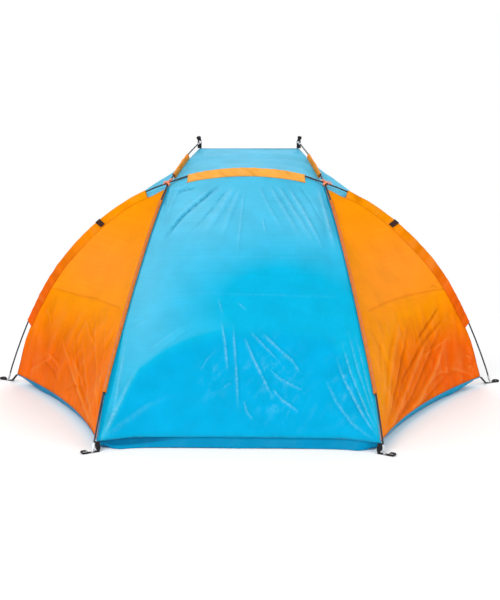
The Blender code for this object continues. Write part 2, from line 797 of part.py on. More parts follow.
def centre_sleeve(shell, cloths):
    """The sleeve over the top of the arch, sewn to the awning and the rear wall."""
    arch = shell.arch
    rows = []
    reaches = np.linspace(0, 1, 2 * rear_columns)
    places = [shell.ridge(reach)[0] for reach in reaches]
    for own in arch.stations(arch_half(-centre_sleeve_share), arch_half(centre_sleeve_share), 2):
        reach = np.interp(abs(arch.at(own)[0]), places, reaches)
        u = 0.5 + math.copysign(reach / 2, arch.at(own)[0])
        ridge = shell.ridge_across(u)
        ahead = CENTRE_FRONT_WIDTH / np.linalg.norm(on_net(cloths.roof, u, 1.0) - ridge)
        down = CENTRE_REAR_WIDTH / np.linalg.norm(on_net(cloths.rear, u, 0.0) - ridge)
        front = [over_net(cloths.roof, u, ahead * share) for share in centre_layer_shares]
        rear = [over_net(cloths.rear, u, 1 - down * share) for share in centre_layer_shares]
        ends = (front[1], rear[1])
        middle = wrapped(arch.at(own), arch.along(own), arch.outward(own), ends, SLEEVE_RADIUS, 4)
        rows.append([front[0], *middle, rear[0]])
    sheet("centre_sleeve", rows, 1, "orange_cloth")


def side_sleeves(shell, cloths):
    """The folded sleeves that hold the side walls to the arch, and the bands around them."""
    arch = shell.arch
    rows = []
    span = side_corner_share - side_sleeve_top_share
    low = arch_half(side_sleeve_low_share)
    for own in arch.stations(arch_half(side_sleeve_top_share), low, 2):
        share = 2 * own - 1
        v = (side_corner_share - share) / span
        edge = on_net(cloths.side, 1.0, v)
        centre, way, inner = shell.fin(share, edge)
        u = 1 - SIDE_FIN_LAP / np.linalg.norm(edge - shell.seam(v))
        end = on_net(cloths.side, u, v)
        within = -net_normal(cloths.side, u, v)
        ends = (edge - SIDE_FIN_LIFT * inner, edge + SIDE_FIN_LIFT * inner)
        middle = wrapped(centre, arch.along(own), -way, ends, SLEEVE_RADIUS, sleeve_arc_steps)
        rows.append([end - LAYER_LIFT * within, *middle, end + LAYER_LIFT * within])
    bands = []
    half = BAND_WIDTH / arch.length
    for share in (band_share - half, band_share, band_share + half):
        own = arch_half(share)
        centre, way, inner = shell.fin(share)
        edge = centre + BAND_REACH * way - BAND_SKEW * arch.along(own)
        ends = (edge - BAND_LIFT * inner, edge + BAND_LIFT * inner)
        bands.append(wrapped(centre, arch.along(own), -way, ends, BAND_RADIUS, sleeve_arc_steps))
    for label, side in (("left", -1), ("right", 1)):
        sheet(f"{label}_side_sleeve", rows, side, "orange_cloth")
        sheet(f"{label}_band", bands, side, "black_webbing", WEBBING_THICKNESS)


def seam_sleeves(shell, cloths):
    """The sleeves over the long poles, along the seams of the rear wall."""
    rib = shell.long_rib
    rows = []
    for share in rib.stations(rear_sleeve_low_share, rear_sleeve_high_share, 2):
        v = (share - rear_corner_share) / (peak_share - rear_corner_share)
        seam = shell.seam(v)
        left = mirrored(seam, -1)
        rear_u = 1 - SEAM_REAR_WIDTH / np.linalg.norm(seam - left)
        side_u = SEAM_SIDE_WIDTH / np.linalg.norm(shell.arch_edge(v) - seam)
        ends = (over_net(cloths.side, side_u, v), over_net(cloths.rear, rear_u, v))
        rows.append(wrapped(rib.at(share), rib.along(share), rib.outward(share), ends, SLEEVE_RADIUS, 5))
    for label, side in (("left", -1), ("right", 1)):
        sheet(f"{label}_seam_sleeve", rows, side, "orange_cloth")


def awning_sleeves(shell):
    """The folded sleeves that hang the awning from the long poles."""
    rib = shell.long_rib
    rows = []
    for share in rib.stations(*awning_sleeve_shares, 2):
        centre = rib.at(share)
        out = rib.outward(share)
        across = unit(np.cross(rib.along(share), out))
        foot = centre - (CREASE_DROP - AWNING_FIN_GAP) * out
        ends = (foot + AWNING_FIN_LIFT * across, foot - AWNING_FIN_LIFT * across)
        rows.append(wrapped(centre, rib.along(share), out, ends, SLEEVE_RADIUS, sleeve_arc_steps))
    for label, side in (("left", -1), ("right", 1)):
        sheet(f"{label}_awning_sleeve", rows, side, "orange_cloth")


def crossing_ties(shell):
    """The ribbon rings that hold each long pole against the arch."""
    own = arch_half(crossing_share)
    centre = shell.arch.at(own)
    far = shell.long_rib.points - centre
    nearest = shell.long_rib.shares[np.argmin(np.linalg.norm(far, axis=1))]
    shares = np.linspace(nearest - RIB_SPACING, nearest + RIB_SPACING, 400)
    under = min(shares, key=lambda share: np.linalg.norm(shell.long_rib.at(share) - centre))
    out = unit(centre - shell.long_rib.at(under))
    run = unit(shell.arch.along(own) + shell.long_rib.along(under))
    width = np.cross(out, run)
    top = POLE_RADIUS + TIE_GAP + RIBBON_THICKNESS / 2
    low = -top - 2 * POLE_RADIUS - CROSSING_GAP
    outline = ((0.45, top), (1.0, top / 4), (1.0, low + top * 3 / 4), (0.45, low))
    ring = [*outline, *((-a, h) for a, h in outline[::-1]), outline[0]]
    rows = [
        [centre + a * TIE_SIDE * run + h * out + w * TIE_WIDTH / 2 * width for a, h in ring]
        for w in (-1, 0, 1)
    ]
    for label, side in (("left", -1), ("right", 1)):
        sheet(f"{label}_crossing_tie", rows, side, "salmon_ribbon", RIBBON_THICKNESS)


def cut_hole(item, place, way):
    """Cuts the pin's round hole through a strap, along way, about a world place."""
    bpy.ops.mesh.primitive_cylinder_add(
        vertices=2 * ROUND_SIDES,
        radius=STRAP_HOLE_RADIUS,
        depth=2 * CUT_OVERRUN,
        location=place,
        rotation=way.to_track_quat("Z", "Y").to_euler(),
    )
    cutter = bpy.context.object
    cutter.name = f"{item.name}_hole"
    cutter.hide_render = True
    cutter.display_type = "WIRE"
    cut = item.modifiers.new("pin_hole", "BOOLEAN")
    cut.object = cutter
    cut.operation = "DIFFERENCE"
    cut.solver = "EXACT"


def band_rows(line, width):
    """Rows of points for a strap that runs along a line and has the given width vector."""
    return [[point - width / 2, point, point + width / 2] for point in line]


def foot_straps(label, rib, share, way, corner):
    """The strap and the peg loop at a pole's foot, on both sides of the tent."""
    ahead = np.array([way[0], way[1], 0.0]) / math.hypot(*way)
    width = STRAP_WIDTH * np.array([-ahead[1], ahead[0], 0.0])
    foot = np.array([*rib.at(share)[:2], WEBBING_THICKNESS / 2])
    up = np.array([0.0, 0.0, 1.0])
    top = corner - STRAP_TOP_GAP * up + STRAP_TOP_OUT * ahead
    fold = foot - STRAP_BACK * ahead
    base = [foot + STRAP_FRONT * ahead, foot, fold, blend(fold, top, 0.5), top]
    high = LOOP_HEIGHT - WEBBING_THICKNESS
    loop = [
        PEG_LOOP_START * ahead,
        LOOP_JOIN * ahead,
        (PEG_LOOP_END - LOOP_ROUND) * ahead,
        PEG_LOOP_END * ahead + LOOP_ROUND * up,
        PEG_LOOP_END * ahead + (high - LOOP_ROUND) * up,
        (PEG_LOOP_END - LOOP_ROUND) * ahead + high * up,
        LOOP_CROWN * ahead + high * up,
        LOOP_JOIN * ahead + (LOOP_JOIN_HEIGHT - WEBBING_THICKNESS / 2) * up,
    ]
    for name, side in (("left", -1), ("right", 1)):
        strap = sheet(f"{name}_{label}_foot_strap", band_rows(base, width), side, "black_webbing", WEBBING_THICKNESS)
        cut_hole(strap, placed(mirrored(foot, side)), Vector((0, 0, 1)))
        line = [foot + point for point in loop]
        piece = sheet(f"{name}_{label}_peg_loop", band_rows(line, width), side, "black_webbing", WEBBING_THICKNESS)
        hinge = foot + HINGE_REACH * ahead + WEBBING_THICKNESS / 2 * up
        move_origin(piece, placed(mirrored(hinge, side)))


def tip_straps(shell):
    """The eyeleted straps that hold the awning's front corners to the pole tips."""
    along = shell.long_rib.along(1.0)
    ahead = unit(np.array([along[0], along[1], 0.0]))
    width = STRAP_WIDTH * np.array([-ahead[1], ahead[0], 0.0])
    up = np.array([0.0, 0.0, 1.0])
    low = -TIP_CORNER_DROP + STRAP_TOP_GAP / 2
    layer = LOOP_JOIN_HEIGHT - WEBBING_THICKNESS / 2
    outline = (
        (0.0, low),
        (0.0, low / 2),
        (0.0, 0.0),
        (0.0, TIP_LOOP_JOIN),
        (0.0, TIP_LOOP_RISE - LOOP_ROUND),
        (LOOP_ROUND, TIP_LOOP_RISE),
        (LOOP_HEIGHT - WEBBING_THICKNESS, TIP_LOOP_RISE - LOOP_ROUND),
        (LOOP_HEIGHT - WEBBING_THICKNESS, blend(TIP_LOOP_JOIN, TIP_LOOP_RISE, 0.4)),
        (layer, TIP_LOOP_JOIN),
    )
    line = [shell.tip_hold + a * ahead + h * up for a, h in outline]
    for name, side in (("left", -1), ("right", 1)):
        strap = sheet(f"{name}_tip_strap", band_rows(line, width), side, "black_webbing", WEBBING_THICKNESS)
        cut_hole(strap, placed(mirrored(shell.tip_hold, side)), placed(mirrored(ahead, side)))


def move_origin(item, place):
    """Moves an object's origin to a world place and leaves its mesh where it is."""
    item.data.transform(Matrix.Translation(-place))
    item.location = place


def centre_all():
    """Moves the tent so that its box stands centred on the origin."""
    bpy.context.view_layer.update()
    graph = bpy.context.evaluated_depsgraph_get()
    places = []
    for item in bpy.data.objects:
        if item.display_type != "WIRE":
            solid = item.evaluated_get(graph)
            places += [solid.matrix_world @ vertex.co for vertex in solid.data.vertices]
    places = np.array(places)
    low, high = places.min(axis=0), places.max(axis=0)
    for item in bpy.data.objects:
        item.location -= Vector(((low[0] + high[0]) / 2, (low[1] + high[1]) / 2, low[2]))


def build():
    """Makes every piece of the tent."""
    clear_scene()
    make_finishes()
    arch = build_arch()
    long_rib = build_long_rib(arch)
    shell = Shell(arch, long_rib)
    pole_pieces("arch_pole", arch, ARCH_SECTIONS, 1)
    pole_pieces("left_pole", long_rib, LONG_SECTIONS, -1)
    pole_pieces("right_pole", long_rib, LONG_SECTIONS, 1)
    cloths = Cloths(shell)
    walls(shell, cloths)
    pockets(cloths)
    centre_sleeve(shell, cloths)
    side_sleeves(shell, cloths)
    seam_sleeves(shell, cloths)
    awning_sleeves(shell)
    crossing_ties(shell)
    foot_straps("rear", long_rib, 0.0, rear_strap_way, shell.corner_rear)
    foot_straps("side", arch, 1.0, side_strap_way, shell.corner_side)
    tip_straps(shell)
    centre_all()


build()
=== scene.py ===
"""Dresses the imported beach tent: folded and stitched cloth, webbing, bows, eyelets and dark poles."""

import logging
import math
from dataclasses import dataclass
from enum import Enum
from typing import Callable

import bmesh
import bpy
import numpy as np
from mathutils import Matrix, Vector, noise
from mathutils.bvhtree import BVHTree
from mathutils.kdtree import KDTree


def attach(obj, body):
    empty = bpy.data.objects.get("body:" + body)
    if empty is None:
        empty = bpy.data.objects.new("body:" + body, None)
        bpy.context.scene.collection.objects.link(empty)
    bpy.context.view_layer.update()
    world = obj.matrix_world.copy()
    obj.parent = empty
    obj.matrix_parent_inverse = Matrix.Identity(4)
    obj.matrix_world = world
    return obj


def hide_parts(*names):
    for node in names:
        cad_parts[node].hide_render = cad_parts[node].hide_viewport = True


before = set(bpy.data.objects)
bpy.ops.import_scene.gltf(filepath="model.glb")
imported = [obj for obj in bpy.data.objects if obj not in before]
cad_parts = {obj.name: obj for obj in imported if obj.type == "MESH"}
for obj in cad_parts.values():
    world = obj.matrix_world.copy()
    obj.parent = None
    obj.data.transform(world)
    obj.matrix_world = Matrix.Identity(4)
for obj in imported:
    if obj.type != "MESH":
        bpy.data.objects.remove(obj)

LOG = logging.getLogger("beach_tent")
TENT = "tent"
SIDES = ("left", "right")
# a place inside the cabin, away from which every sheet's outer face looks
HEART = Vector((0.0, -0.55, 0.30))
# places nearer than this are one
WELD = 0.00002
CLOTH_WALL = 0.00035
TAPE_WIDTH = 0.02
IMAGE_WIDTH = 500
IMAGE_HEIGHT = 600
# a wave texture's bands are this far apart at a scale of 1, straight and leaning
BAND_RUN = 0.314
LEANING_BAND_RUN = 0.2

Pixel = tuple[float, float]
Colour = tuple[float, float, float]
Socket = bpy.types.NodeSocket
EVEN = (1.0, 1.0, 1.0)


def soft_step(low: float, high: float, value: np.ndarray) -> np.ndarray:
    """Rises smoothly from 0 at low to 1 at high.

    Args:
        low: Where the rise starts.
        high: Where it ends; it may be below low, for a fall.
        value: The places to read it at.

    Returns:
        One share from 0 to 1 for each value.
    """
    share = np.clip((value - low) / (high - low), 0.0, 1.0)
    return share * share * (3.0 - 2.0 * share)


def linear(red: int, green: int, blue: int) -> Colour:
    """The linear colour of an sRGB one that is written from 0 to 255, by the usual curve."""
    shares = [level / 255 for level in (red, green, blue)]
    return tuple(((c + 0.055) / 1.055) ** 2.4 if c > 0.04 else c / 12.92 for c in shares)


class Shades:
    """Colours of the tent's finishes, as linear light. A cloth's colour is followed by its lit copy and its
    shaded copy, which paint light and shade on it.
    """

    BLUE = linear(6, 192, 230)
    # the blue's lit copy, for painted light, then its shaded copy, for painted shade
    BLUE_LIT = linear(110, 210, 238)
    BLUE_SHADED = linear(0, 184, 230)
    AMBER = linear(255, 166, 0)
    # the amber's lit copy, for painted light, then its shaded copy, for painted shade
    AMBER_LIT = linear(254, 162, 48)
    AMBER_SHADED = linear(248, 108, 0)
    FLOOR = linear(0, 152, 200)
    # the floor's lit copy, for painted light, then its shaded copy, for painted shade
    FLOOR_LIT = linear(20, 176, 216)
    FLOOR_SHADED = linear(0, 108, 154)
    TAPE = linear(30, 29, 34)
    BAND = linear(48, 24, 12)
    BINDING = linear(228, 136, 80)
    # the binding's lit copy, for painted light, then its shaded copy, for painted shade
    BINDING_LIT = linear(252, 142, 24)
    BINDING_SHADED = linear(216, 110, 56)
    # the orange painted lighter, as if lit from above: painted light; then its paler and its shaded copy
    BLEACHED = linear(255, 188, 84)
    TOP_LIT_PALER = linear(255, 202, 116)
    TOP_LIT_SHADED = linear(248, 156, 50)
    SALMON = linear(250, 138, 96)
    FIBRE = linear(26, 30, 38)
    STEEL = linear(198, 200, 204)
    EYELET = linear(228, 230, 234)
    ELASTIC = linear(215, 214, 208)
    BLUE_THREAD = linear(0, 130, 190)
    ORANGE_THREAD = linear(214, 92, 0)
    GROUND = linear(249, 249, 249)


@dataclass
class PhotoCamera:
    """The photograph's viewpoint, fitted to the tent's feet, tips and crossings."""

    feet_line: float = 0.6877
    sideways: float = 0.1828
    away: float = 4.5
    height: float = 1.3356
    pitch: float = 0.16811
    yaw: float = 0.0305
    roll: float = -0.00169
    focal_pixels: float = 1269.3
    sensor: float = 36.0

    def __post_init__(self) -> None:
        """Works out the camera's place and its three directions."""
        sin_p, cos_p = math.sin(self.pitch), math.cos(self.pitch)
        sin_y, cos_y = math.sin(self.yaw), math.cos(self.yaw)
        level = Vector((-cos_y, -sin_y, 0.0))
        self.ahead = Vector((sin_y * cos_p, -cos_y * cos_p, -sin_p))
        up = level.cross(self.ahead)
        self.right = math.cos(self.roll) * level + math.sin(self.roll) * up
        self.up = self.right.cross(self.ahead)
        self.place = Vector((-self.sideways, self.feet_line + self.away, self.height))

    def ray(self, pixel: Pixel) -> Vector:
        """The direction in which a pixel of the photograph looks.

        Args:
            pixel: Its place across and down the photograph.

        Returns:
            A direction of length 1.
        """
        across = (pixel[0] - IMAGE_WIDTH / 2) / self.focal_pixels
        above = (IMAGE_HEIGHT / 2 - pixel[1]) / self.focal_pixels
        return (self.ahead + across * self.right + above * self.up).normalized()

    def pixels(self, places: np.ndarray) -> np.ndarray:
        """The photograph's pixel for each place.

        Args:
            places: World places, one a row.

        Returns:
            Pixel coordinates, one pair a row.
        """
        apart = places - np.array(self.place)
        depth = apart @ np.array(self.ahead)
        across = IMAGE_WIDTH / 2 + self.focal_pixels * (apart @ np.array(self.right)) / depth
        down = IMAGE_HEIGHT / 2 - self.focal_pixels * (apart @ np.array(self.up)) / depth
        return np.column_stack([across, down])

    def build(self) -> None:
        """Makes the camera and gives it to the scene."""
        data = bpy.data.cameras.new("photo_view")
        data.sensor_width = self.sensor
        data.lens = self.focal_pixels / IMAGE_HEIGHT * self.sensor
        camera = bpy.data.objects.new("photo_view", data)
        turn = Matrix((self.right, self.up, -self.ahead)).transposed().to_4x4()
        camera.matrix_world = Matrix.Translation(self.place) @ turn
        bpy.context.scene.collection.objects.link(camera)
        bpy.context.scene.camera = camera


PHOTO = PhotoCamera()


class NodeBoard:
    """A short way to wire a material's nodes."""

    def __init__(self, name: str) -> None:
        """Starts a material that holds nothing but its output.

        Args:
            name: The material's name.
        """
        self.material = bpy.data.materials.new(name)
        self.material.use_nodes = True
        self.tree = self.material.node_tree
        self.tree.nodes.clear()
        self.output = self.add("ShaderNodeOutputMaterial")

    def add(self, kind: str, settings: dict | None = None, **inputs: object) -> bpy.types.Node:
        """Adds a node.

        Args:
            kind: Blender's name for the node's type.
            settings: The node's own properties.
            inputs: Input values or output sockets, by the input's name with spaces as underscores.

        Returns:
            The new node.
        """
        node = self.tree.nodes.new(kind)
        for key, value in (settings or {}).items():
            setattr(node, key, value)
        for key, value in inputs.items():
            self.feed(node, key.replace("_", " "), value)
        return node

    def feed(self, node: bpy.types.Node, key: str | int, value: object) -> None:
        """Links an output socket to an input, or sets the input's value.

        Args:
            node: The node.
            key: The input's name or number.
            value: An output socket, a number or a colour.
        """
        if isinstance(value, bpy.types.NodeSocket):
            self.tree.links.new(value, node.inputs[key])
        elif isinstance(value, tuple) and len(value) == 3 and node.inputs[key].type == "RGBA":
            node.inputs[key].default_value = (*value, 1.0)
        else:
            node.inputs[key].default_value = value

    def attribute(self, name: str) -> Socket:
        """What a piece's own attribute says."""
        return self.add("ShaderNodeAttribute", {"attribute_name": name}).outputs["Fac"]

    def cloth_map(self) -> Socket:
        """The place on the piece's own map, in metres."""
        return self.add("ShaderNodeUVMap", {"uv_map": "cloth"}).outputs[0]

    def bands(self, place: Socket, way: str, scale: float) -> Socket:
        """Even bands across one way of the map."""
        wave = self.add("ShaderNodeTexWave", {"bands_direction": way}, Vector=place, Scale=scale)
        return wave.outputs["Fac"]

    def math(self, operation: str, first: object, second: object = 0.5) -> Socket:
        """The result of one sum.

        Args:
            operation: Blender's name for it.
            first: A number or a socket.
            second: Another one.

        Returns:
            The result's socket.
        """
        node = self.add("ShaderNodeMath", {"operation": operation})
        self.feed(node, 0, first)
        self.feed(node, 1, second)
        return node.outputs[0]

    def mix(self, share: object, first: object, second: object) -> Socket:
        """A colour mixed from two.

        Args:
            share: How much of the second one it takes.
            first: A colour or a socket.
            second: Another one.

        Returns:
            The mixed colour's socket.
        """
        node = self.add("ShaderNodeMix", {"data_type": "RGBA"})
        self.feed(node, 0, share)
        self.feed(node, 6, first)
        self.feed(node, 7, second)
        return node.outputs[2]

    def ramp(
        self, value: object, low: float, high: float, to_low: float = 0.0, to_high: float = 1.0
    ) -> Socket:
        """A value carried from one range to another, held at its ends.

        Args:
            value: The socket to read.
            low: Where it starts.
            high: Where it ends.
            to_low: What it gives at the start.
            to_high: What it gives at the end.

        Returns:
            The carried value's socket.
        """
        ends = {"From_Min": low, "From_Max": high, "To_Min": to_low, "To_Max": to_high}
        return self.add("ShaderNodeMapRange", Value=value, **ends).outputs[0]

    def noise(self, coordinates: object, stretch: Colour, scale: float, detail: float = 3.0) -> Socket:
        """Noise on stretched coordinates.

        Args:
            coordinates: The places to read it at.
            stretch: Scales along the three axes.
            scale: Blots a metre.
            detail: Layers of finer noise.

        Returns:
            The noise's socket.
        """
        mapped = self.add("ShaderNodeMapping", Vector=coordinates, Scale=stretch)
        node = self.add("ShaderNodeTexNoise", Vector=mapped.outputs[0], Scale=scale, Detail=detail)
        return node.outputs["Fac"]

    def bump(self, height: object, distance: float, strength: float, under: object = None) -> Socket:
        """A bumped normal, over another one if given.

        Args:
            height: The heights' socket.
            distance: How high 1 is, in metres.
            strength: How much of the bump shows.
            under: The normal that it is laid over.

        Returns:
            The normal's socket.
        """
        node = self.add("ShaderNodeBump", Height=height, Distance=distance, Strength=strength)
        if under is not None:
            self.feed(node, "Normal", under)
        return node.outputs[0]

    def finish(self, shader: Socket) -> bpy.types.Material:
        """Sends the shader to the output and returns the material."""
        self.tree.links.new(shader, self.output.inputs[0])
        return self.material


@dataclass(frozen=True)
class ClothFinish:
    """Thin coated polyester with a satin face, through which some light comes."""

    name: str
    colour: Colour
    # the cloth's lit copy, for painted light, then its shaded copy, for painted shade
    open: Colour
    deep: Colour
    through: float = 0.30
    hem_through: float = 0.55
    roughness: float = 0.38
    specular: float = 0.04
    # how far a fold's painted highlight goes towards white, how dark the painted shade in its valley is, and
    # how much of them shows
    ridge_highlight: float = 0.12
    valley_shade: float = 0.62
    streak_share: float = 0.85
    blotch_scale: float = 9.0
    blotch_values: tuple[float, float] = (0.62, 1.12)
    slub_run: float = 3.0
    slub_pitch: float = 0.006
    slub_depth: float = 0.0006
    slub_bump: float = 0.5
    slub_range: tuple[float, float] = (0.42, 0.62)
    slub_share: float = 0.10
    thread_pitch: float = 0.0016
    weave_depth: float = 0.0001
    weave_bump: float = 0.35
    crinkle: float = 0.35
    crinkle_scale: float = 22.0
    crinkle_depth: float = 0.008

    def toned(self, board: NodeBoard, slub: Socket) -> Socket:
        """The cloth's colour, with light and shade painted on: its lit or its shaded copy by the painted
        light, a painted highlight on a fold's ridge and a painted shade in its valley.

        Args:
            board: The material's nodes.
            slub: The thick threads' noise.

        Returns:
            The colour's socket.
        """
        tone, painted_streak = board.attribute("tone"), board.attribute("painted_streak")
        colour = board.mix(board.ramp(tone, 0.0, 1.0), self.colour, self.open)
        colour = board.mix(board.ramp(tone, 0.0, -1.0), colour, self.deep)
        colour = board.mix(board.ramp(slub, *self.slub_range, 0.0, self.slub_share), colour, self.deep)
        # painted highlight for fold ridges, painted shade for their valleys
        pale = tuple(c + (1.0 - c) * self.ridge_highlight for c in self.open)
        dark = tuple(c * self.valley_shade for c in self.deep)
        colour = board.mix(board.ramp(painted_streak, 0.0, 1.0, 0.0, self.streak_share), colour, pale)
        return board.mix(board.ramp(painted_streak, 0.0, -1.0, 0.0, self.streak_share), colour, dark)

    def build(self) -> bpy.types.Material:
        """Wires the material: colour with painted light and shade, slubs, fine crinkles and the weave.

        Returns:
            The material.
        """
        board = NodeBoard(self.name)
        uv, hem = board.cloth_map(), board.attribute("hem")
        slub = board.noise(uv, (self.slub_run, 1.0 / self.slub_pitch, 1.0), 1.0)
        blotch = board.noise(uv, EVEN, self.blotch_scale, 2.0)
        shade = board.add("ShaderNodeHueSaturation", Color=self.toned(board, slub))
        value = board.ramp(board.math("SUBTRACT", blotch, hem), -1.0, 1.0, *self.blotch_values)
        board.feed(shade, "Value", value)
        colour = shade.outputs[0]
        crease = board.noise(uv, EVEN, self.crinkle_scale, 4.0)
        folds = board.math("ABSOLUTE", board.math("SUBTRACT", crease, 0.5))
        normal = board.bump(folds, self.crinkle_depth, self.crinkle)
        normal = board.bump(slub, self.slub_depth, self.slub_bump, normal)
        threads = [board.bands(uv, way, BAND_RUN / self.thread_pitch) for way in ("X", "Y")]
        weave = board.math("MULTIPLY", *threads)
        normal = board.bump(weave, self.weave_depth, self.weave_bump, normal)
        face = board.add(
            "ShaderNodeBsdfPrincipled",
            Base_Color=colour,
            Roughness=self.roughness,
            Normal=normal,
            Specular_IOR_Level=self.specular,
        )
        back = board.add("ShaderNodeBsdfTranslucent", Color=colour, Normal=normal)
        shared = board.add("ShaderNodeMixShader")
        board.feed(shared, 0, board.ramp(hem, 0.0, 1.0, self.through, self.through * self.hem_through))
        board.feed(shared, 1, face.outputs[0])
        board.feed(shared, 2, back.outputs[0])
        return board.finish(shared.outputs[0])


@dataclass(frozen=True)
class WebbingFinish:
    """Woven tape: ribs along it, and a cross weave."""

    name: str
    colour: Colour
    rib_pitch: float = 0.0018
    rib_depth: float = 0.0004
    rib_bump: float = 0.7
    pale_gain: float = 1.6
    pale_lift: float = 0.004
    pale_share: float = 0.6
    roughness: float = 0.75
    specular: float = 0.15
    sheen: float = 0.04

    def build(self) -> bpy.types.Material:
        """Wires the material on the piece's own map, whose first axis runs along the tape.

        Returns:
            The material.
        """
        board = NodeBoard(self.name)
        uv = board.cloth_map()
        across = board.bands(uv, "Y", BAND_RUN / self.rib_pitch)
        along = board.bands(uv, "DIAGONAL", LEANING_BAND_RUN / self.rib_pitch)
        weave = board.math("MULTIPLY", across, board.ramp(along, 0.0, 1.0, 0.5, 1.0))
        pale = tuple(min(1.0, c * self.pale_gain + self.pale_lift) for c in self.colour)
        colour = board.mix(board.ramp(weave, 0.0, 1.0, 0.0, self.pale_share), self.colour, pale)
        face = board.add(
            "ShaderNodeBsdfPrincipled",
            Base_Color=colour,
            Roughness=self.roughness,
            Normal=board.bump(weave, self.rib_depth, self.rib_bump),
            Specular_IOR_Level=self.specular,
            Sheen_Weight=self.sheen,
        )
        return board.finish(face.outputs[0])


@dataclass(frozen=True)
class TubeFinish:
    """A drawn or turned tube: fine lines and a few scuffs."""

    name: str
    colour: Colour
    metallic: float
    roughness: float
    scuff: float = 0.1
    grain_scale: float = 220.0
    grain_depth: float = 0.0002
    grain_bump: float = 0.25
    wear_scale: float = 18.0
    wear_range: tuple[float, float] = (0.45, 0.75)
    scuff_range: tuple[float, float] = (0.3, 0.7)
    pale_gain: float = 1.5
    pale_lift: float = 0.02
    pale_share: float = 0.5

    def build(self) -> bpy.types.Material:
        """Wires the material on object coordinates.

        Returns:
            The material.
        """
        board = NodeBoard(self.name)
        place = board.add("ShaderNodeTexCoord").outputs["Object"]
        grain = board.noise(place, EVEN, self.grain_scale, 4.0)
        wear = board.noise(place, EVEN, self.wear_scale, 3.0)
        pale = tuple(min(1.0, c * self.pale_gain + self.pale_lift) for c in self.colour)
        colour = board.mix(board.ramp(wear, *self.wear_range, 0.0, self.pale_share), self.colour, pale)
        face = board.add(
            "ShaderNodeBsdfPrincipled",
            Base_Color=colour,
            Metallic=self.metallic,
            Roughness=board.ramp(wear, *self.scuff_range, self.roughness, self.roughness + self.scuff),
            Normal=board.bump(grain, self.grain_depth, self.grain_bump),
        )
        return board.finish(face.outputs[0])


@dataclass(frozen=True)
class StageFinish:
    """The ground: matt round the tent, where it keeps the shadow, and white to the camera further out."""

    name: str
    colour: Colour
    near: float = 1.5
    far: float = 2.6
    roughness: float = 0.9
    specular: float = 0.1

    def build(self) -> bpy.types.Material:
        """Wires the ground's material.

        Returns:
            The material.
        """
        board = NodeBoard(self.name)
        place = board.add("ShaderNodeTexCoord").outputs["Object"]
        away = board.add("ShaderNodeVectorMath", {"operation": "LENGTH"})
        board.feed(away, 0, place)
        path = board.add("ShaderNodeLightPath")
        seen = board.math("MAXIMUM", path.outputs["Is Camera Ray"], path.outputs["Is Glossy Ray"])
        seen = board.math("MAXIMUM", seen, path.outputs["Is Transmission Ray"])
        share = board.math("MULTIPLY", seen, board.ramp(away.outputs["Value"], self.near, self.far))
        face = board.add(
            "ShaderNodeBsdfPrincipled",
            Base_Color=self.colour,
            Roughness=self.roughness,
            Specular_IOR_Level=self.specular,
        )
        white = board.add("ShaderNodeEmission")
        shared = board.add("ShaderNodeMixShader")
        board.feed(shared, 0, share)
        board.feed(shared, 1, face.outputs[0])
        board.feed(shared, 2, white.outputs[0])
        return board.finish(shared.outputs[0])


class Finish(Enum):
    """Every finish on the tent and round it."""

    BLUE = ClothFinish("blue_polyester", Shades.BLUE, Shades.BLUE_LIT, Shades.BLUE_SHADED)
    ROOF = ClothFinish("blue_roof_polyester", Shades.BLUE, Shades.BLUE_LIT, Shades.BLUE_SHADED, roughness=0.6)
    ORANGE = ClothFinish(
        "orange_polyester", Shades.AMBER, Shades.AMBER_LIT, Shades.AMBER_SHADED, ridge_highlight=0.05, specular=0.02
    )
    # the orange painted lighter, as if lit from above: painted light
    BLEACHED = ClothFinish(
        "top_lit_polyester",
        Shades.BLEACHED,
        Shades.TOP_LIT_PALER,
        Shades.TOP_LIT_SHADED,
        ridge_highlight=0.05,
        specular=0.02,
    )
    BINDING = ClothFinish(
        "seam_binding", Shades.BINDING, Shades.BINDING_LIT, Shades.BINDING_SHADED, ridge_highlight=0.05, specular=0.02
    )
    FLOOR = ClothFinish(
        "woven_floor", Shades.FLOOR, Shades.FLOOR_LIT, Shades.FLOOR_SHADED, through=0.25, thread_pitch=0.003
    )
    TAPE = WebbingFinish("black_tape", Shades.TAPE)
    BAND = WebbingFinish("brown_band", Shades.BAND)
    RIBBON = WebbingFinish("salmon_ribbon", Shades.SALMON, rib_pitch=0.0009, roughness=0.55)
    FIBRE = TubeFinish("dark_fibreglass", Shades.FIBRE, 0.0, 0.28)
    STEEL = TubeFinish("bright_steel", Shades.STEEL, 1.0, 0.28)
    EYELET = TubeFinish("nickel_eyelet", Shades.EYELET, 1.0, 0.22)
    ELASTIC = TubeFinish("shock_cord", Shades.ELASTIC, 0.0, 0.8)
    BLUE_THREAD = TubeFinish("blue_thread", Shades.BLUE_THREAD, 0.0, 0.6)
    ORANGE_THREAD = TubeFinish("orange_thread", Shades.ORANGE_THREAD, 0.0, 0.6)
    GROUND = StageFinish("pale_ground", Shades.GROUND)

    @property
    def material(self) -> bpy.types.Material:
        """The finish's material, made the first time it is asked for."""
        return bpy.data.materials.get(self.value.name) or self.value.build()


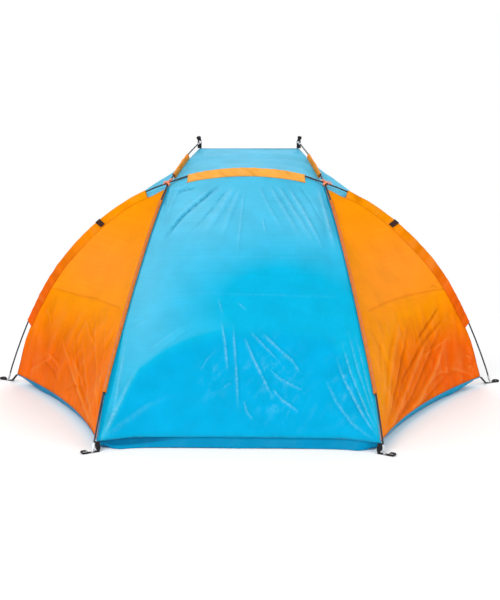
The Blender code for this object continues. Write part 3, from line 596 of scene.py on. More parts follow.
@dataclass(frozen=True)
class Fold:
    """A crease or soft fold through points of the photograph, with a painted highlight or a painted shade
    along it.
    """

    path: tuple[Pixel, ...]
    width: float
    rise: float
    # painted highlight along the fold, painted shade below 0; when not given, it follows the rise
    shine: float | None = None
    fade_in: float = 0.15
    fade_out: float = 0.5
    skew: float = 0.45
    # the rise at which a fold gets a full painted highlight
    pale_rise: float = 0.008

    @property
    def painted_streak(self) -> float:
        """How much painted highlight, or painted shade below 0, the cloth gets along the fold."""
        return self.rise / self.pale_rise if self.shine is None else self.shine

    def pixels(self, steps: int = 5) -> list[Pixel]:
        """The path with points added between its own, so that it follows a curved sheet.

        Args:
            steps: How many parts each stretch is cut into.

        Returns:
            Places in the photograph.
        """
        return [
            (a[0] + (b[0] - a[0]) * k / steps, a[1] + (b[1] - a[1]) * k / steps)
            for a, b in zip(self.path, self.path[1:])
            for k in range(steps)
        ] + [self.path[-1]]


@dataclass(frozen=True)
class Patch:
    """A round area of the photograph, in which the cloth is rumpled or light or shade is painted on it."""

    centre: Pixel
    reach: Pixel

    def share(self, seen: np.ndarray) -> np.ndarray:
        """How far each place lies inside the patch: 1 at its centre, fading outwards."""
        apart = (seen - np.array(self.centre)) / np.array(self.reach)
        return np.exp(-(apart**2).sum(1))


class Sheet:
    """A cloth piece: one layer of its CAD solid, refined, folded and given its wall."""

    CREASE = 0.7
    RIM_EDGE = 0.0014
    FLAT_ANGLE = math.radians(40)
    STRAIGHT_ANGLE = math.radians(179)
    BORDER_REACH = 0.03
    BORDER_BATCH = 2048
    FINE_WIDTH = 0.0075
    FINE_REACH = 1.75
    NOTHING = 1e-12
    SHORTEST = 1e-6
    LEVEL_LEAST = 0.2
    FAR_OFF = 9.0
    FOLD_REACH = 4
    TROUGH = 1.7
    CREASE_NARROW = 0.09
    CREASE_LEVEL = 0.3
    BLOTS = {"level": 0.95, "gain": 1.3, "least": 0.25, "most": 1.5}

    def __init__(
        self,
        node: str,
        finish: Finish,
        levels: int = 3,
        folds: tuple[Fold, ...] = (),
        sharp: float = 180.0,
        lap: float = 0.0,
        stitch_inset: float = 0.004,
    ) -> None:
        """Takes the sheet's layer from its CAD solid and folds it.

        Args:
            node: The CAD node.
            finish: The cloth's finish.
            levels: How often its faces are halved.
            folds: The creases and folds to press into it.
            sharp: Edges that bend more than this many degrees stay sharp.
            lap: How far it reaches past the CAD outline, in metres.
            stitch_inset: The seam's distance from the border, or 0 for none.
        """
        self.node = node
        self.finish = finish
        self.sharp = math.radians(sharp)
        self.lap = lap
        self.stitch_inset = stitch_inset
        self.levels = levels
        mesh = self.one_layer()
        self.base = BVHTree.FromBMesh(mesh)
        border = [edge for edge in mesh.edges if edge.is_boundary]
        self.outline = np.array([[vertex.co[:] for vertex in edge.verts] for edge in border])
        draft = self.smoothed(mesh)
        self.guess = np.array([vertex.co[:] for vertex in draft.vertices])
        self.guess_seen = PHOTO.pixels(self.guess)
        lines = [(fold, np.array([self.hit(pixel)[:] for pixel in fold.pixels()])) for fold in folds]
        self.data = self.refined(draft, lines)
        self.read()
        for fold, line in lines:
            self.fold_line(line, fold)

    def one_layer(self) -> bmesh.types.BMesh:
        """The layer of the CAD solid that faces away from the inside of the tent.

        Returns:
            Its mesh, which has no wall.
        """
        mesh = bmesh.new()
        mesh.from_mesh(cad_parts[self.node].data)
        bmesh.ops.remove_doubles(mesh, verts=mesh.verts, dist=WELD)
        bmesh.ops.join_triangles(
            mesh,
            faces=mesh.faces,
            angle_face_threshold=self.FLAT_ANGLE,
            angle_shape_threshold=self.STRAIGHT_ANGLE,
        )
        rim = [f for f in mesh.faces if min(edge.calc_length() for edge in f.edges) < self.RIM_EDGE]
        bmesh.ops.delete(mesh, geom=rim, context="FACES")
        layers = self.islands(mesh)
        outer = max(layers, key=self.outwardness)
        spare = [face for layer in layers if layer is not outer for face in layer]
        bmesh.ops.delete(mesh, geom=spare, context="FACES")
        return mesh

    @staticmethod
    def islands(mesh: bmesh.types.BMesh) -> list[list[bmesh.types.BMFace]]:
        """The mesh's separate pieces.

        Args:
            mesh: The mesh to look through.

        Returns:
            Each piece's faces.
        """
        left = set(mesh.faces)
        found = []
        while left:
            waiting = [left.pop()]
            island = list(waiting)
            while waiting:
                face = waiting.pop()
                for other in {f for edge in face.edges for f in edge.link_faces} & left:
                    left.remove(other)
                    waiting.append(other)
                    island.append(other)
            found.append(island)
        return found

    @staticmethod
    def outwardness(layer: list[bmesh.types.BMFace]) -> float:
        """How far a layer's faces look away from the inside of the tent, by area."""
        ways = [(face, (face.calc_center_median() - HEART).normalized()) for face in layer]
        return sum(face.calc_area() * face.normal.dot(way) for face, way in ways)

    def smoothed(self, mesh: bmesh.types.BMesh) -> bpy.types.Mesh:
        """The layer subdivided smoothly, with its corners kept.

        Args:
            mesh: The layer; it is freed.

        Returns:
            The finer mesh.
        """
        crease = mesh.edges.layers.float.new("crease_edge")
        for edge in mesh.edges:
            if edge.is_manifold and edge.calc_face_angle() > self.sharp:
                edge[crease] = self.CREASE
        data = bpy.data.meshes.new("draft")
        mesh.to_mesh(data)
        mesh.free()
        draft = bpy.data.objects.new("draft", data)
        bpy.context.scene.collection.objects.link(draft)
        smooth = draft.modifiers.new("smooth", "SUBSURF")
        smooth.levels = self.levels
        smooth.render_levels = self.levels
        smooth.boundary_smooth = "PRESERVE_CORNERS"
        graph = bpy.context.evaluated_depsgraph_get()
        result = bpy.data.meshes.new_from_object(draft.evaluated_get(graph))
        bpy.data.objects.remove(draft)
        return result

    def refined(self, data: bpy.types.Mesh, lines: list[tuple[Fold, np.ndarray]]) -> bpy.types.Mesh:
        """The draft with smaller faces along its narrow folds.

        Args:
            data: The draft.
            lines: Each fold with the places that it runs through.

        Returns:
            The same mesh, refined.
        """
        near = np.zeros(len(self.guess), dtype=bool)
        for fold, line in lines:
            if fold.width < self.FINE_WIDTH:
                for a, b in zip(line, line[1:]):
                    along = b - a
                    run = max(along @ along, self.NOTHING)
                    share = np.clip(((self.guess - a) @ along) / run, 0.0, 1.0)
                    apart = self.guess - a - share[:, None] * along
                    near |= (apart**2).sum(1) < (self.FINE_REACH * fold.width) ** 2
        if not near.any():
            return data
        mesh = bmesh.new()
        mesh.from_mesh(data)
        mesh.verts.ensure_lookup_table()
        chosen = [edge for edge in mesh.edges if near[edge.verts[0].index] and near[edge.verts[1].index]]
        bmesh.ops.subdivide_edges(mesh, edges=chosen, cuts=1, use_grid_fill=True)
        mesh.to_mesh(data)
        mesh.free()
        return data

    def read(self) -> None:
        """Reads places, normals, the distance to the border and the area."""
        count = len(self.data.vertices)
        self.rest = np.empty(count * 3)
        self.data.vertices.foreach_get("co", self.rest)
        self.rest = self.rest.reshape(-1, 3)
        self.places = self.rest.copy()
        normals = np.empty(count * 3)
        self.data.vertex_normals.foreach_get("vector", normals)
        self.normals = normals.reshape(-1, 3)
        self.seen = PHOTO.pixels(self.rest)
        self.edge = self.follow_outline()
        # what each vertex gets of painted light, of painted highlight and shade along folds, and of hem
        self.tone = np.zeros(count)
        self.painted_streak = np.zeros(count)
        self.hem = np.zeros(count)
        self.area = sum(face.area for face in self.data.polygons)

    def follow_outline(self) -> np.ndarray:
        """Moves the border onto the CAD outline, and outwards by the lap, with the cloth near it.

        Returns:
            Distance from each vertex to the sheet's border.
        """
        mesh = bmesh.new()
        mesh.from_mesh(self.data)
        border = [vertex for vertex in mesh.verts if vertex.is_boundary]
        moves = np.array([self.to_outline(vertex)[:] for vertex in border])
        places = np.array([vertex.co[:] for vertex in border])
        mesh.free()
        far = np.empty(len(self.rest))
        for start in range(0, len(self.rest), self.BORDER_BATCH):
            batch = slice(start, start + self.BORDER_BATCH)
            part = self.rest[batch]
            square = ((part[:, None] - places[None]) ** 2).sum(2)
            nearest = square.argmin(1)
            far[batch] = np.sqrt(square[np.arange(len(part)), nearest])
            share = soft_step(self.BORDER_REACH, 0.0, far[batch])
            self.places[batch] += moves[nearest] * share[:, None]
        return far

    def to_outline(self, vertex: bmesh.types.BMVert) -> Vector:
        """The way from a border vertex to the CAD outline, and on outwards by the lap.

        Args:
            vertex: A vertex of the border.

        Returns:
            The move.
        """
        place = np.array(vertex.co[:])
        start, run = self.outline[:, 0], self.outline[:, 1] - self.outline[:, 0]
        share = np.clip(((place - start) * run).sum(1) / (run**2).sum(1), 0.0, 1.0)
        close = start + share[:, None] * run
        nearest = close[((close - place) ** 2).sum(1).argmin()]
        inner = [edge.other_vert(vertex).co for edge in vertex.link_edges if not edge.is_boundary]
        out = (vertex.co - sum(inner, Vector()) / len(inner)).normalized() if inner else Vector()
        return Vector(nearest - place) + self.lap * out

    def axes(self) -> tuple[np.ndarray, np.ndarray]:
        """Two directions in the sheet's mean plane.

        Returns:
            The level one, and the one up the sheet.
        """
        out = self.normals.mean(axis=0)
        out /= np.linalg.norm(out)
        level = np.cross([0.0, 0.0, 1.0], out)
        if np.linalg.norm(level) < self.LEVEL_LEAST:
            level = np.array([1.0, 0.0, 0.0])
        level /= np.linalg.norm(level)
        return level, np.cross(out, level)

    def hit(self, pixel: Pixel) -> Vector:
        """The place on the sheet that a pixel of the photograph shows, or the nearest one.

        Args:
            pixel: Its place in the photograph.

        Returns:
            The place on the sheet.
        """
        found = self.base.ray_cast(PHOTO.place, PHOTO.ray(pixel))[0]
        if found is None:
            far = ((self.guess_seen - np.array(pixel)) ** 2).sum(1)
            found = Vector(self.guess[far.argmin()])
        return found

    def fold_line(self, line: np.ndarray, crease: Fold, hold: float = 0.010) -> None:
        """Raises or sinks the sheet along a line, and paints a highlight or a shade along it.

        Args:
            line: Places on the sheet.
            crease: The fold's width, rise and fades.
            hold: Distance from the border over which the sheet stays put.
        """
        runs = np.concatenate([[0], np.cumsum(np.linalg.norm(np.diff(line, axis=0), axis=1))])
        reach = self.FOLD_REACH * crease.width
        low, high = line.min(0) - reach, line.max(0) + reach
        chosen = np.flatnonzero(((self.rest > low) & (self.rest < high)).all(1))
        places, normals = self.rest[chosen], self.normals[chosen]
        near = np.full(len(chosen), self.FAR_OFF)
        side = np.zeros(len(chosen))
        way = np.zeros(len(chosen))
        for a, b, run_a, run_b in zip(line, line[1:], runs, runs[1:]):
            along = b - a
            length = np.linalg.norm(along)
            if length < self.SHORTEST:
                continue
            share = np.clip(((places - a) @ along) / length**2, 0.0, 1.0)
            apart = places - a - share[:, None] * along
            far = np.linalg.norm(apart, axis=1)
            closer = far < near
            near[closer] = far[closer]
            way[closer] = (run_a + share * (run_b - run_a))[closer] / runs[-1]
            across = np.cross(normals, along / length)
            side[closer] = np.sign((apart * across).sum(1))[closer]
        q = side * near / crease.width
        envelope = soft_step(0.0, crease.fade_in, way) * soft_step(1.0, 1.0 - crease.fade_out, way)
        shape = np.exp(-(q**2)) - crease.skew * np.exp(-((q - self.TROUGH) ** 2))
        shape *= envelope
        lift = crease.rise * shape * soft_step(0.0, hold, self.edge[chosen])
        self.places[chosen] += lift[:, None] * normals
        self.painted_streak[chosen] += crease.painted_streak * shape

    def ripple(
        self,
        stretch: tuple[float, float],
        turn: float,
        rise: float,
        seed: float,
        share: np.ndarray | float = 1.0,
        shine: float = 0.0,
        creased: bool = False,
        hold: float = 0.02,
    ) -> None:
        """Adds soft uneven waves, or sharp creases.

        Args:
            stretch: Wavelengths along and across the waves, in metres.
            turn: The waves' turn in the sheet's plane, in degrees.
            rise: Height of the largest ones.
            seed: Picks one pattern.
            share: How much of it each vertex takes.
            shine: How much painted highlight the cloth gets on their tops; below 0, painted shade.
            creased: Makes narrow ridges of them.
            hold: Distance from the border over which the sheet stays put.
        """
        level, up = self.axes()
        angle = math.radians(turn)
        a = self.rest @ (math.cos(angle) * level + math.sin(angle) * up) / stretch[0]
        b = self.rest @ (-math.sin(angle) * level + math.cos(angle) * up) / stretch[1]
        wave = np.array([noise.noise((x, y, seed)) for x, y in zip(a, b)])
        if creased:
            wave = np.exp(-((wave / self.CREASE_NARROW) ** 2)) - self.CREASE_LEVEL
        wave = wave * share
        self.places += (rise * wave * soft_step(0.0, hold, self.edge))[:, None] * self.normals
        self.painted_streak += shine * wave

    def ragged(self, pitch: float, seed: float) -> np.ndarray:
        """Uneven shares round 1 that break up the folds' painted highlights.

        Args:
            pitch: Blots a metre.
            seed: Picks one pattern.

        Returns:
            One share for each vertex.
        """
        blots = [noise.noise((pitch * x + seed, pitch * y, pitch * z)) for x, y, z in self.rest]
        shares = self.BLOTS["level"] + self.BLOTS["gain"] * np.array(blots)
        return np.clip(shares, self.BLOTS["least"], self.BLOTS["most"])

    def keep_under(self, share: np.ndarray) -> None:
        """Takes back what stands out of the sheet, where another piece covers it."""
        lift = ((self.places - self.rest) * self.normals).sum(1)
        self.places -= (share * np.clip(lift, 0.0, None))[:, None] * self.normals

    def draw_up(self, side: str, reach: float, share: float = 0.5) -> None:
        """Draws the sheet's top corner up towards the place where the poles cross.

        Args:
            side: Which crossing.
            reach: How far from the corner the cloth follows.
            share: How much of the way the corner goes.
        """
        crossing = crossing_of(side)
        apart = self.rest - np.array(crossing)
        corner = self.rest[(apart**2).sum(1).argmin()]
        far = np.linalg.norm(self.rest - corner, axis=1)
        self.places += soft_step(reach, 0.0, far)[:, None] * share * (np.array(crossing) - corner)

    def build(self, name: str, slot: str, flat: tuple[float, float], held: str) -> None:
        """Makes the finished piece, which replaces its CAD node.

        Args:
            name: The piece's name.
            slot: The record's material slot.
            flat: The size it was cut to, in metres; not used.
            held: How the cloth is held; not used.
        """
        self.data.vertices.foreach_set("co", self.places.ravel())
        # painted light, painted highlight and shade, and the hem go to the material as attributes
        for key, values in (("tone", self.tone), ("painted_streak", self.painted_streak), ("hem", self.hem)):
            values = np.clip(values, -1.0, 1.0)
            self.data.attributes.new(key, "FLOAT", "POINT").data.foreach_set("value", values)
        self.write_map()
        self.data.polygons.foreach_set("use_smooth", [True] * len(self.data.polygons))
        piece = bpy.data.objects.new(name, self.data)
        bpy.context.scene.collection.objects.link(piece)
        solid = piece.modifiers.new("wall", "SOLIDIFY")
        solid.thickness = CLOTH_WALL
        solid.offset = -1.0
        piece.data.materials.clear()
        piece.data.materials.append(self.finish.material)
        settle(piece, TENT, slot, self.node)
        if self.stitch_inset:
            SeamStitches(self.stitch_inset).build(f"{self.node}_stitches", slot, self.data, self.finish)
        LOG.info("%s: %d vertices, %.3f m2", name, len(self.data.vertices), self.area)

    def write_map(self) -> None:
        """Writes the cloth's own map, in metres along its two axes."""
        level, up = self.axes()
        while self.data.uv_layers:
            self.data.uv_layers.remove(self.data.uv_layers[0])
        layer = self.data.uv_layers.new(name="cloth")
        corners = np.empty(len(self.data.loops), dtype=int)
        self.data.loops.foreach_get("vertex_index", corners)
        flat = np.column_stack([self.rest @ level, self.rest @ up])[corners]
        layer.data.foreach_set("uv", flat.ravel())


# each side wall's rest places and folds, which its pocket follows
WALLS: dict[str, tuple[np.ndarray, np.ndarray]] = {}


def crossing_of(side: str) -> Vector:
    """The middle of the ribbon ring where two poles cross."""
    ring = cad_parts[f"{side}_crossing_tie"].data
    return Vector(np.mean([vertex.co[:] for vertex in ring.vertices], axis=0))


def in_order(mesh: bmesh.types.BMesh) -> tuple[list[tuple[float, ...]], list[list[int]]]:
    """The mesh's places and faces, in an order that is the same in each run.

    Args:
        mesh: The mesh, whose own order may vary.

    Returns:
        The places, and the numbers of each face's corners.
    """
    rings = []
    for face in mesh.faces:
        ring = list(face.verts)
        start = min(range(len(ring)), key=lambda corner: ring[corner].co[:])
        rings.append(ring[start:] + ring[:start])
    rings.sort(key=lambda ring: [vertex.co[:] for vertex in ring])
    numbers: dict[bmesh.types.BMVert, int] = {}
    for ring in rings:
        for vertex in ring:
            numbers.setdefault(vertex, len(numbers))
    return [vertex.co[:] for vertex in numbers], [[numbers[vertex] for vertex in ring] for ring in rings]


def object_from(
    mesh: bmesh.types.BMesh, name: str, finish: Finish, smooth: bool = False
) -> bpy.types.Object:
    """Makes an object of a finished mesh and frees the mesh.

    Args:
        mesh: The mesh, in world places.
        name: The object's name.
        finish: Its finish.
        smooth: Shades its faces as one round surface.

    Returns:
        The object.
    """
    data = bpy.data.meshes.new(name)
    if smooth:
        places, faces = in_order(mesh)
        data.from_pydata(places, [], faces)
        data.polygons.foreach_set("use_smooth", [True] * len(data.polygons))
    else:
        mesh.to_mesh(data)
    mesh.free()
    data.materials.append(finish.material)
    piece = bpy.data.objects.new(name, data)
    bpy.context.scene.collection.objects.link(piece)
    return piece


def settle(piece: bpy.types.Object, body: str, slot: str, *nodes: str) -> None:
    """Puts a finished piece on its body.

    Args:
        piece: The piece.
        body: The body that it rides on.
        slot: The record's material slot; not used.
        nodes: The CAD nodes that it stands for.
    """
    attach(piece, body)
    if nodes:
        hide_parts(*nodes)


@dataclass(frozen=True)
class SeamStitches:
    """A lockstitch seam that runs round a sheet a little inside its border."""

    inset: float
    pitch: float = 0.0075
    length: float = 0.0048
    thread: float = 0.00042
    proud: float = 0.0004
    shares: tuple[float, ...] = (-0.5, 0.0, 0.5)

    def build(self, name: str, slot: str, data: bpy.types.Mesh, cloth: Finish) -> None:
        """Sews the stitches as short arched threads.

        Args:
            name: The piece's name.
            slot: The record's material slot.
            data: The sheet's mesh, before it gets its wall.
            cloth: The sheet's finish, which picks the thread.
        """
        curve = bpy.data.curves.new(name, "CURVE")
        curve.dimensions = "3D"
        curve.bevel_depth = self.thread
        curve.bevel_resolution = 0
        curve.use_fill_caps = True
        for place, along, out in self.stations(data):
            spline = curve.splines.new("POLY")
            spline.points.add(len(self.shares) - 1)
            for point, share in zip(spline.points, self.shares):
                lift = self.proud if share == 0.0 else -self.thread / 2
                point.co = (*(place + share * self.length * along + lift * out), 1.0)
        rope = bpy.data.objects.new(name, curve)
        bpy.context.scene.collection.objects.link(rope)
        graph = bpy.context.evaluated_depsgraph_get()
        mesh = bpy.data.meshes.new_from_object(rope.evaluated_get(graph))
        bpy.data.objects.remove(rope)
        piece = bpy.data.objects.new(name, mesh)
        bpy.context.scene.collection.objects.link(piece)
        mesh.materials.clear()
        blue = cloth in (Finish.BLUE, Finish.ROOF)
        mesh.materials.append((Finish.BLUE_THREAD if blue else Finish.ORANGE_THREAD).material)
        settle(piece, TENT, slot)

    def stations(self, data: bpy.types.Mesh) -> list[tuple[Vector, Vector, Vector]]:
        """Places along the seam.

        Args:
            data: The sheet's mesh, before it gets its wall.

        Returns:
            Each stitch's place, the seam's direction there and the sheet's normal.
        """
        mesh = bmesh.new()
        mesh.from_mesh(data)
        mesh.normal_update()
        found = []
        left = 0.0
        for first, last in self.in_order(mesh):
            run = last.co - first.co
            length = run.length
            if length < WELD:
                continue
            out = (first.normal + last.normal).normalized()
            along = run / length
            inward = out.cross(along)
            face = next(f for f in first.link_faces if last in f.verts)
            if inward.dot(face.calc_center_median() - first.co) < 0:
                inward = -inward
            while left < length:
                found.append((first.co + left * along + self.inset * inward, along, out))
                left += self.pitch
            left -= length
        mesh.free()
        return found

    @staticmethod
    def in_order(mesh: bmesh.types.BMesh) -> list[tuple[bmesh.types.BMVert, bmesh.types.BMVert]]:
        """The border's edges one after the other.

        Args:
            mesh: The sheet's mesh.

        Returns:
            Each edge's first and last vertex.
        """
        left = dict.fromkeys(edge for edge in mesh.edges if edge.is_boundary)
        pairs = []
        while left:
            edge = next(iter(left))
            del left[edge]
            first, last = edge.verts
            pairs.append((first, last))
            while follow := [other for other in last.link_edges if other in left]:
                del left[follow[0]]
                first, last = last, follow[0].other_vert(last)
                pairs.append((first, last))
        return pairs


@dataclass(frozen=True)
class RearPanel:
    """The blue back wall, pleated under the top sleeve and pulled to its lower corners."""

    flat: tuple[float, float] = (1.16, 1.36)
    lap: float = 0.0012
    side_start: float = 0.32
    seam_foot: float = 0.17
    seam_shade: float = 0.0085
    low_lap: float = 0.0045
    low_reach: float = 0.04
    low_start: float = 0.42
    hem: tuple[float, float] = (0.012, 0.009)
    sleeve_cover: tuple[float, float] = (0.060, 0.040)
    sleeve_low: tuple[float, float] = (0.80, 0.85)
    corner_reach: float = 0.10
    # where the painted light fades, down and across the panel
    painted_light_rows: tuple[float, float] = (200.0, 330.0)
    # a narrow strip of painted shade beside the seam: its column at each row, and the rows where it starts
    shade_strip_rows: tuple[float, ...] = (324, 348, 373, 403, 438)
    shade_strip_columns: tuple[float, ...] = (124.8, 120.2, 115.7, 108.8, 101.0)
    shade_strip_top: tuple[float, float] = (318.0, 334.0)
    # the edge of the painted shade in the lower middle, where the floor behind the panel shows through
    shade_dome: tuple[Pixel, ...] = (
        (102, 450),
        (110, 428),
        (130, 386),
        (140, 370),
        (163, 353),
        (190, 341),
        (224, 333),
        (281, 330),
        (329, 338),
        (346, 362),
        (382, 450),
    )
    # patches of painted light, painted shade below 0
    lights: tuple[tuple[float, Patch], ...] = (
        (0.45, Patch((140, 300), (34, 80))),
        (-0.40, Patch((262, 290), (60, 40))),
        (0.25, Patch((195, 212), (26, 26))),
        (0.25, Patch((308, 214), (22, 26))),
    )
    rumples: tuple[Patch, ...] = (
        Patch((270, 375), (26, 30)),
        Patch((285, 408), (24, 18)),
        Patch((345, 385), (14, 40)),
        Patch((212, 380), (12, 20)),
    )
    # each fold's shine is a painted highlight along it, painted shade below 0
    folds: tuple[Fold, ...] = (
        # gathered under the top sleeve
        Fold(
            ((222, 183), (208, 194), (190, 209), (176, 223), (163, 241)), 0.0085, -0.0060, -0.75, 0.2, 0.25
        ),
        Fold(((212, 187), (196, 199), (180, 214), (166, 231)), 0.008, 0.0040, 0.35),
        Fold(((234, 185), (220, 208), (207, 226), (198, 240)), 0.012, 0.0050, 0.45),
        Fold(((228, 187), (212, 209), (196, 226), (182, 238)), 0.006, -0.0025, -0.35),
        Fold(((240, 187), (230, 210), (218, 243)), 0.009, 0.0040, 0.40),
        Fold(((196, 187), (184, 190), (172, 196)), 0.007, -0.0035, -0.50),
        Fold(((188, 184), (176, 190), (164, 193)), 0.006, 0.0030, 0.35),
        Fold(((172, 188), (166, 200), (163, 216)), 0.006, -0.0030, -0.45),
        Fold(((180, 186), (172, 200), (165, 220)), 0.007, 0.0030, 0.30),
        Fold(((244, 184), (241, 216), (236, 263)), 0.005, 0.0022, 0.40, 0.3),
        Fold(((262, 216), (264, 226), (267, 236)), 0.004, 0.0018, 0.35, 0.3),
        Fold(((258, 184), (268, 206), (286, 236)), 0.007, 0.0026, 0.25),
        Fold(((268, 184), (284, 210), (304, 244)), 0.008, 0.0036, 0.40),
        Fold(((276, 184), (296, 214), (318, 250)), 0.008, 0.0040, 0.50),
        Fold(((288, 187), (306, 216), (326, 255)), 0.007, 0.0042, 0.60),
        Fold(((298, 184), (312, 204), (328, 232)), 0.006, -0.0026, -0.25),
        Fold(((316, 187), (325, 212), (336, 256)), 0.009, 0.0052, 0.75),
        Fold(((324, 188), (330, 205), (336, 222)), 0.006, -0.0030, -0.40),
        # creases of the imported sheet
        Fold(((150, 259), (200, 256), (260, 257), (338, 258)), 0.004, 0.0006, 0.08, 0.1, 0.1),
        Fold(((146, 275), (210, 272), (280, 274), (342, 276)), 0.004, -0.0005, -0.07, 0.1, 0.1),
        Fold(((140, 296), (210, 293), (280, 295), (346, 297)), 0.004, 0.0005, 0.06, 0.1, 0.1),
        # folds with painted highlights below the middle
        Fold(((218, 298), (221, 308), (224, 318)), 0.0027, 0.0014, 0.3, 0.3),
        Fold(((236, 301), (242, 306), (248, 311)), 0.0027, 0.0014, 0.26, 0.3),
        Fold(((221, 318), (225, 342), (228, 374)), 0.0044, 0.0030, 0.51, 0.3, 0.3),
        Fold(((233, 322), (235, 350), (237, 380), (238, 411)), 0.0044, 0.0032, 0.51, 0.3, 0.3),
        Fold(((244, 336), (254, 360), (264, 380), (275, 402)), 0.0054, 0.0033, 0.47, 0.2, 0.3),
        Fold(((250, 331), (270, 352), (288, 372)), 0.0048, 0.0030, 0.34),
        Fold(((262, 333), (278, 348), (292, 361), (303, 376)), 0.0048, 0.0032, 0.47, 0.2, 0.3),
        Fold(((266, 366), (280, 379), (294, 386), (306, 392)), 0.0041, 0.0029, 0.38, 0.3, 0.3),
        Fold(((270, 386), (282, 400), (300, 413)), 0.0048, 0.0032, 0.47, 0.3, 0.3),
        Fold(((244, 401), (247, 412), (254, 421)), 0.0034, 0.0023, 0.38, 0.2, 0.3),
        Fold(((222, 388), (230, 383), (238, 382)), 0.0027, 0.0015, 0.26),
        Fold(((200, 371), (208, 358), (217, 349)), 0.0034, 0.0016, 0.26),
        # the fan from the right-hand foot
        Fold(((379, 440), (362, 414), (346, 384), (334, 353)), 0.0054, 0.0034, 0.55, 0.3, 0.35),
        Fold(((379, 438), (366, 410), (351, 374), (340, 338)), 0.0041, 0.0032, 0.51, 0.3, 0.35),
        Fold(((379, 434), (369, 404), (357, 368), (347, 328)), 0.0041, 0.0029, 0.42, 0.3, 0.35),
        Fold(((377, 424), (369, 392), (361, 358), (354, 330)), 0.0034, 0.0025, 0.34, 0.3, 0.35),
        Fold(((376, 442), (352, 424), (336, 402), (322, 372)), 0.0054, 0.0025, 0.3, 0.3, 0.4),
        Fold(((374, 420), (366, 396), (356, 370)), 0.0027, -0.0015, -0.26, 0.3),
        # the pull to the left-hand foot
        Fold(((101, 440), (114, 414), (128, 384), (139, 367)), 0.007, 0.0036, 0.40, 0.2, 0.4),
        Fold(((106, 436), (115, 404), (122, 362), (128, 330)), 0.006, 0.0030, 0.40, 0.2, 0.4),
        Fold(((124, 307), (117, 338), (108, 387)), 0.004, 0.0024, 0.55, 0.2, 0.2),
        Fold(((101, 440), (124, 422), (150, 404), (178, 392)), 0.010, 0.0024, 0.12),
        Fold(((131, 330), (150, 317)), 0.005, 0.0015, 0.15),
        Fold(((148, 350), (168, 336), (188, 322)), 0.005, 0.0016, 0.18),
        Fold(((158, 352), (186, 332), (206, 318)), 0.005, -0.0014, -0.15),
    )

    def rumple(self, sheet: Sheet) -> None:
        """Gives the panel soft waves, and crumples it in its lower middle, with painted highlights on the
        crumples.

        Args:
            sheet: The panel.
        """
        rumpled = np.clip(sum(patch.share(sheet.seen) for patch in self.rumples), 0.0, 1.0)
        sheet.ripple((0.35, 0.05), 0, 0.0026, 3.1)
        sheet.ripple((0.12, 0.05), 75, 0.0030, 7.7)
        sheet.ripple((0.05, 0.022), 55, 0.0018, 9.2, share=rumpled, shine=0.26)
        sheet.ripple((0.06, 0.024), 62, 0.0010, 1.9, share=rumpled, shine=0.12, creased=True)
        sheet.painted_streak *= sheet.ragged(110.0, 5.5)

    def shade(self, sheet: Sheet) -> None:
        """Paints light and shade on the panel: painted light above, painted shade where the floor behind it
        shows through and in a strip beside one seam, the sleeves' painted shadow beside its side seams, and
        darker hems.

        Args:
            sheet: The panel.
        """
        across, down = sheet.seen.T
        edge = np.array(self.shade_dome)
        inside = down - np.interp(across, edge[:, 0], edge[:, 1])
        # painted light, fading down and across, with patches of painted light and shade, and painted shade
        # inside the dome
        pale = 0.75 - 0.55 * soft_step(*self.painted_light_rows, down) - 0.25 * soft_step(*self.painted_light_rows, across)
        pale += sum(amount * patch.share(sheet.seen) for amount, patch in self.lights)
        sheet.tone = pale + (-1.0 - pale) * soft_step(-7.0, 10.0, inside)
        # a narrow strip of painted shade beside the seam
        shade_strip = across - np.interp(down, self.shade_strip_rows, self.shade_strip_columns)
        shade_strip = soft_step(0.9, -0.9, shade_strip) * soft_step(*self.shade_strip_top, down)
        sheet.tone -= 1.2 * shade_strip
        sheet.painted_streak -= 0.60 * shade_strip
        # the sleeves' painted shadow, a little inside the side seams
        sleeve_shadow = soft_step(self.seam_foot, self.seam_foot + 0.02, sheet.rest[:, 2])
        sleeve_shadow *= soft_step(0.0, 0.01, np.abs(sheet.rest[:, 0]) - self.side_start)
        sheet.painted_streak -= 1.3 * sleeve_shadow * soft_step(self.seam_shade + 0.004, self.seam_shade, sheet.edge)
        sheet.hem = soft_step(*self.hem, sheet.edge) * 0.5

    def lap_corners(self, sheet: Sheet) -> None:
        """Laps the panel over the seams near the ground.

        Args:
            sheet: The panel.
        """
        low = soft_step(self.seam_foot + 0.03, self.seam_foot - 0.02, sheet.rest[:, 2])
        low *= soft_step(self.low_reach, 0.0, sheet.edge)
        low *= soft_step(self.low_start, self.low_start + 0.04, np.abs(sheet.rest[:, 0]))
        sheet.places[:, 0] += self.low_lap * low * np.sign(sheet.rest[:, 0])

    def build(self) -> None:
        """Folds the panel, paints light and shade on it and makes the piece."""
        sheet = Sheet("rear_panel", Finish.BLUE, folds=self.folds, lap=self.lap)
        self.rumple(sheet)
        self.shade(sheet)
        under_sleeve = soft_step(*self.sleeve_cover, sheet.edge)
        sheet.keep_under(under_sleeve * soft_step(*self.sleeve_low, sheet.rest[:, 2]))
        self.lap_corners(sheet)
        for side in SIDES:
            sheet.draw_up(side, self.corner_reach)
        sheet.build("rear_wall_cloth", "blue_cloth", self.flat, "stretched")


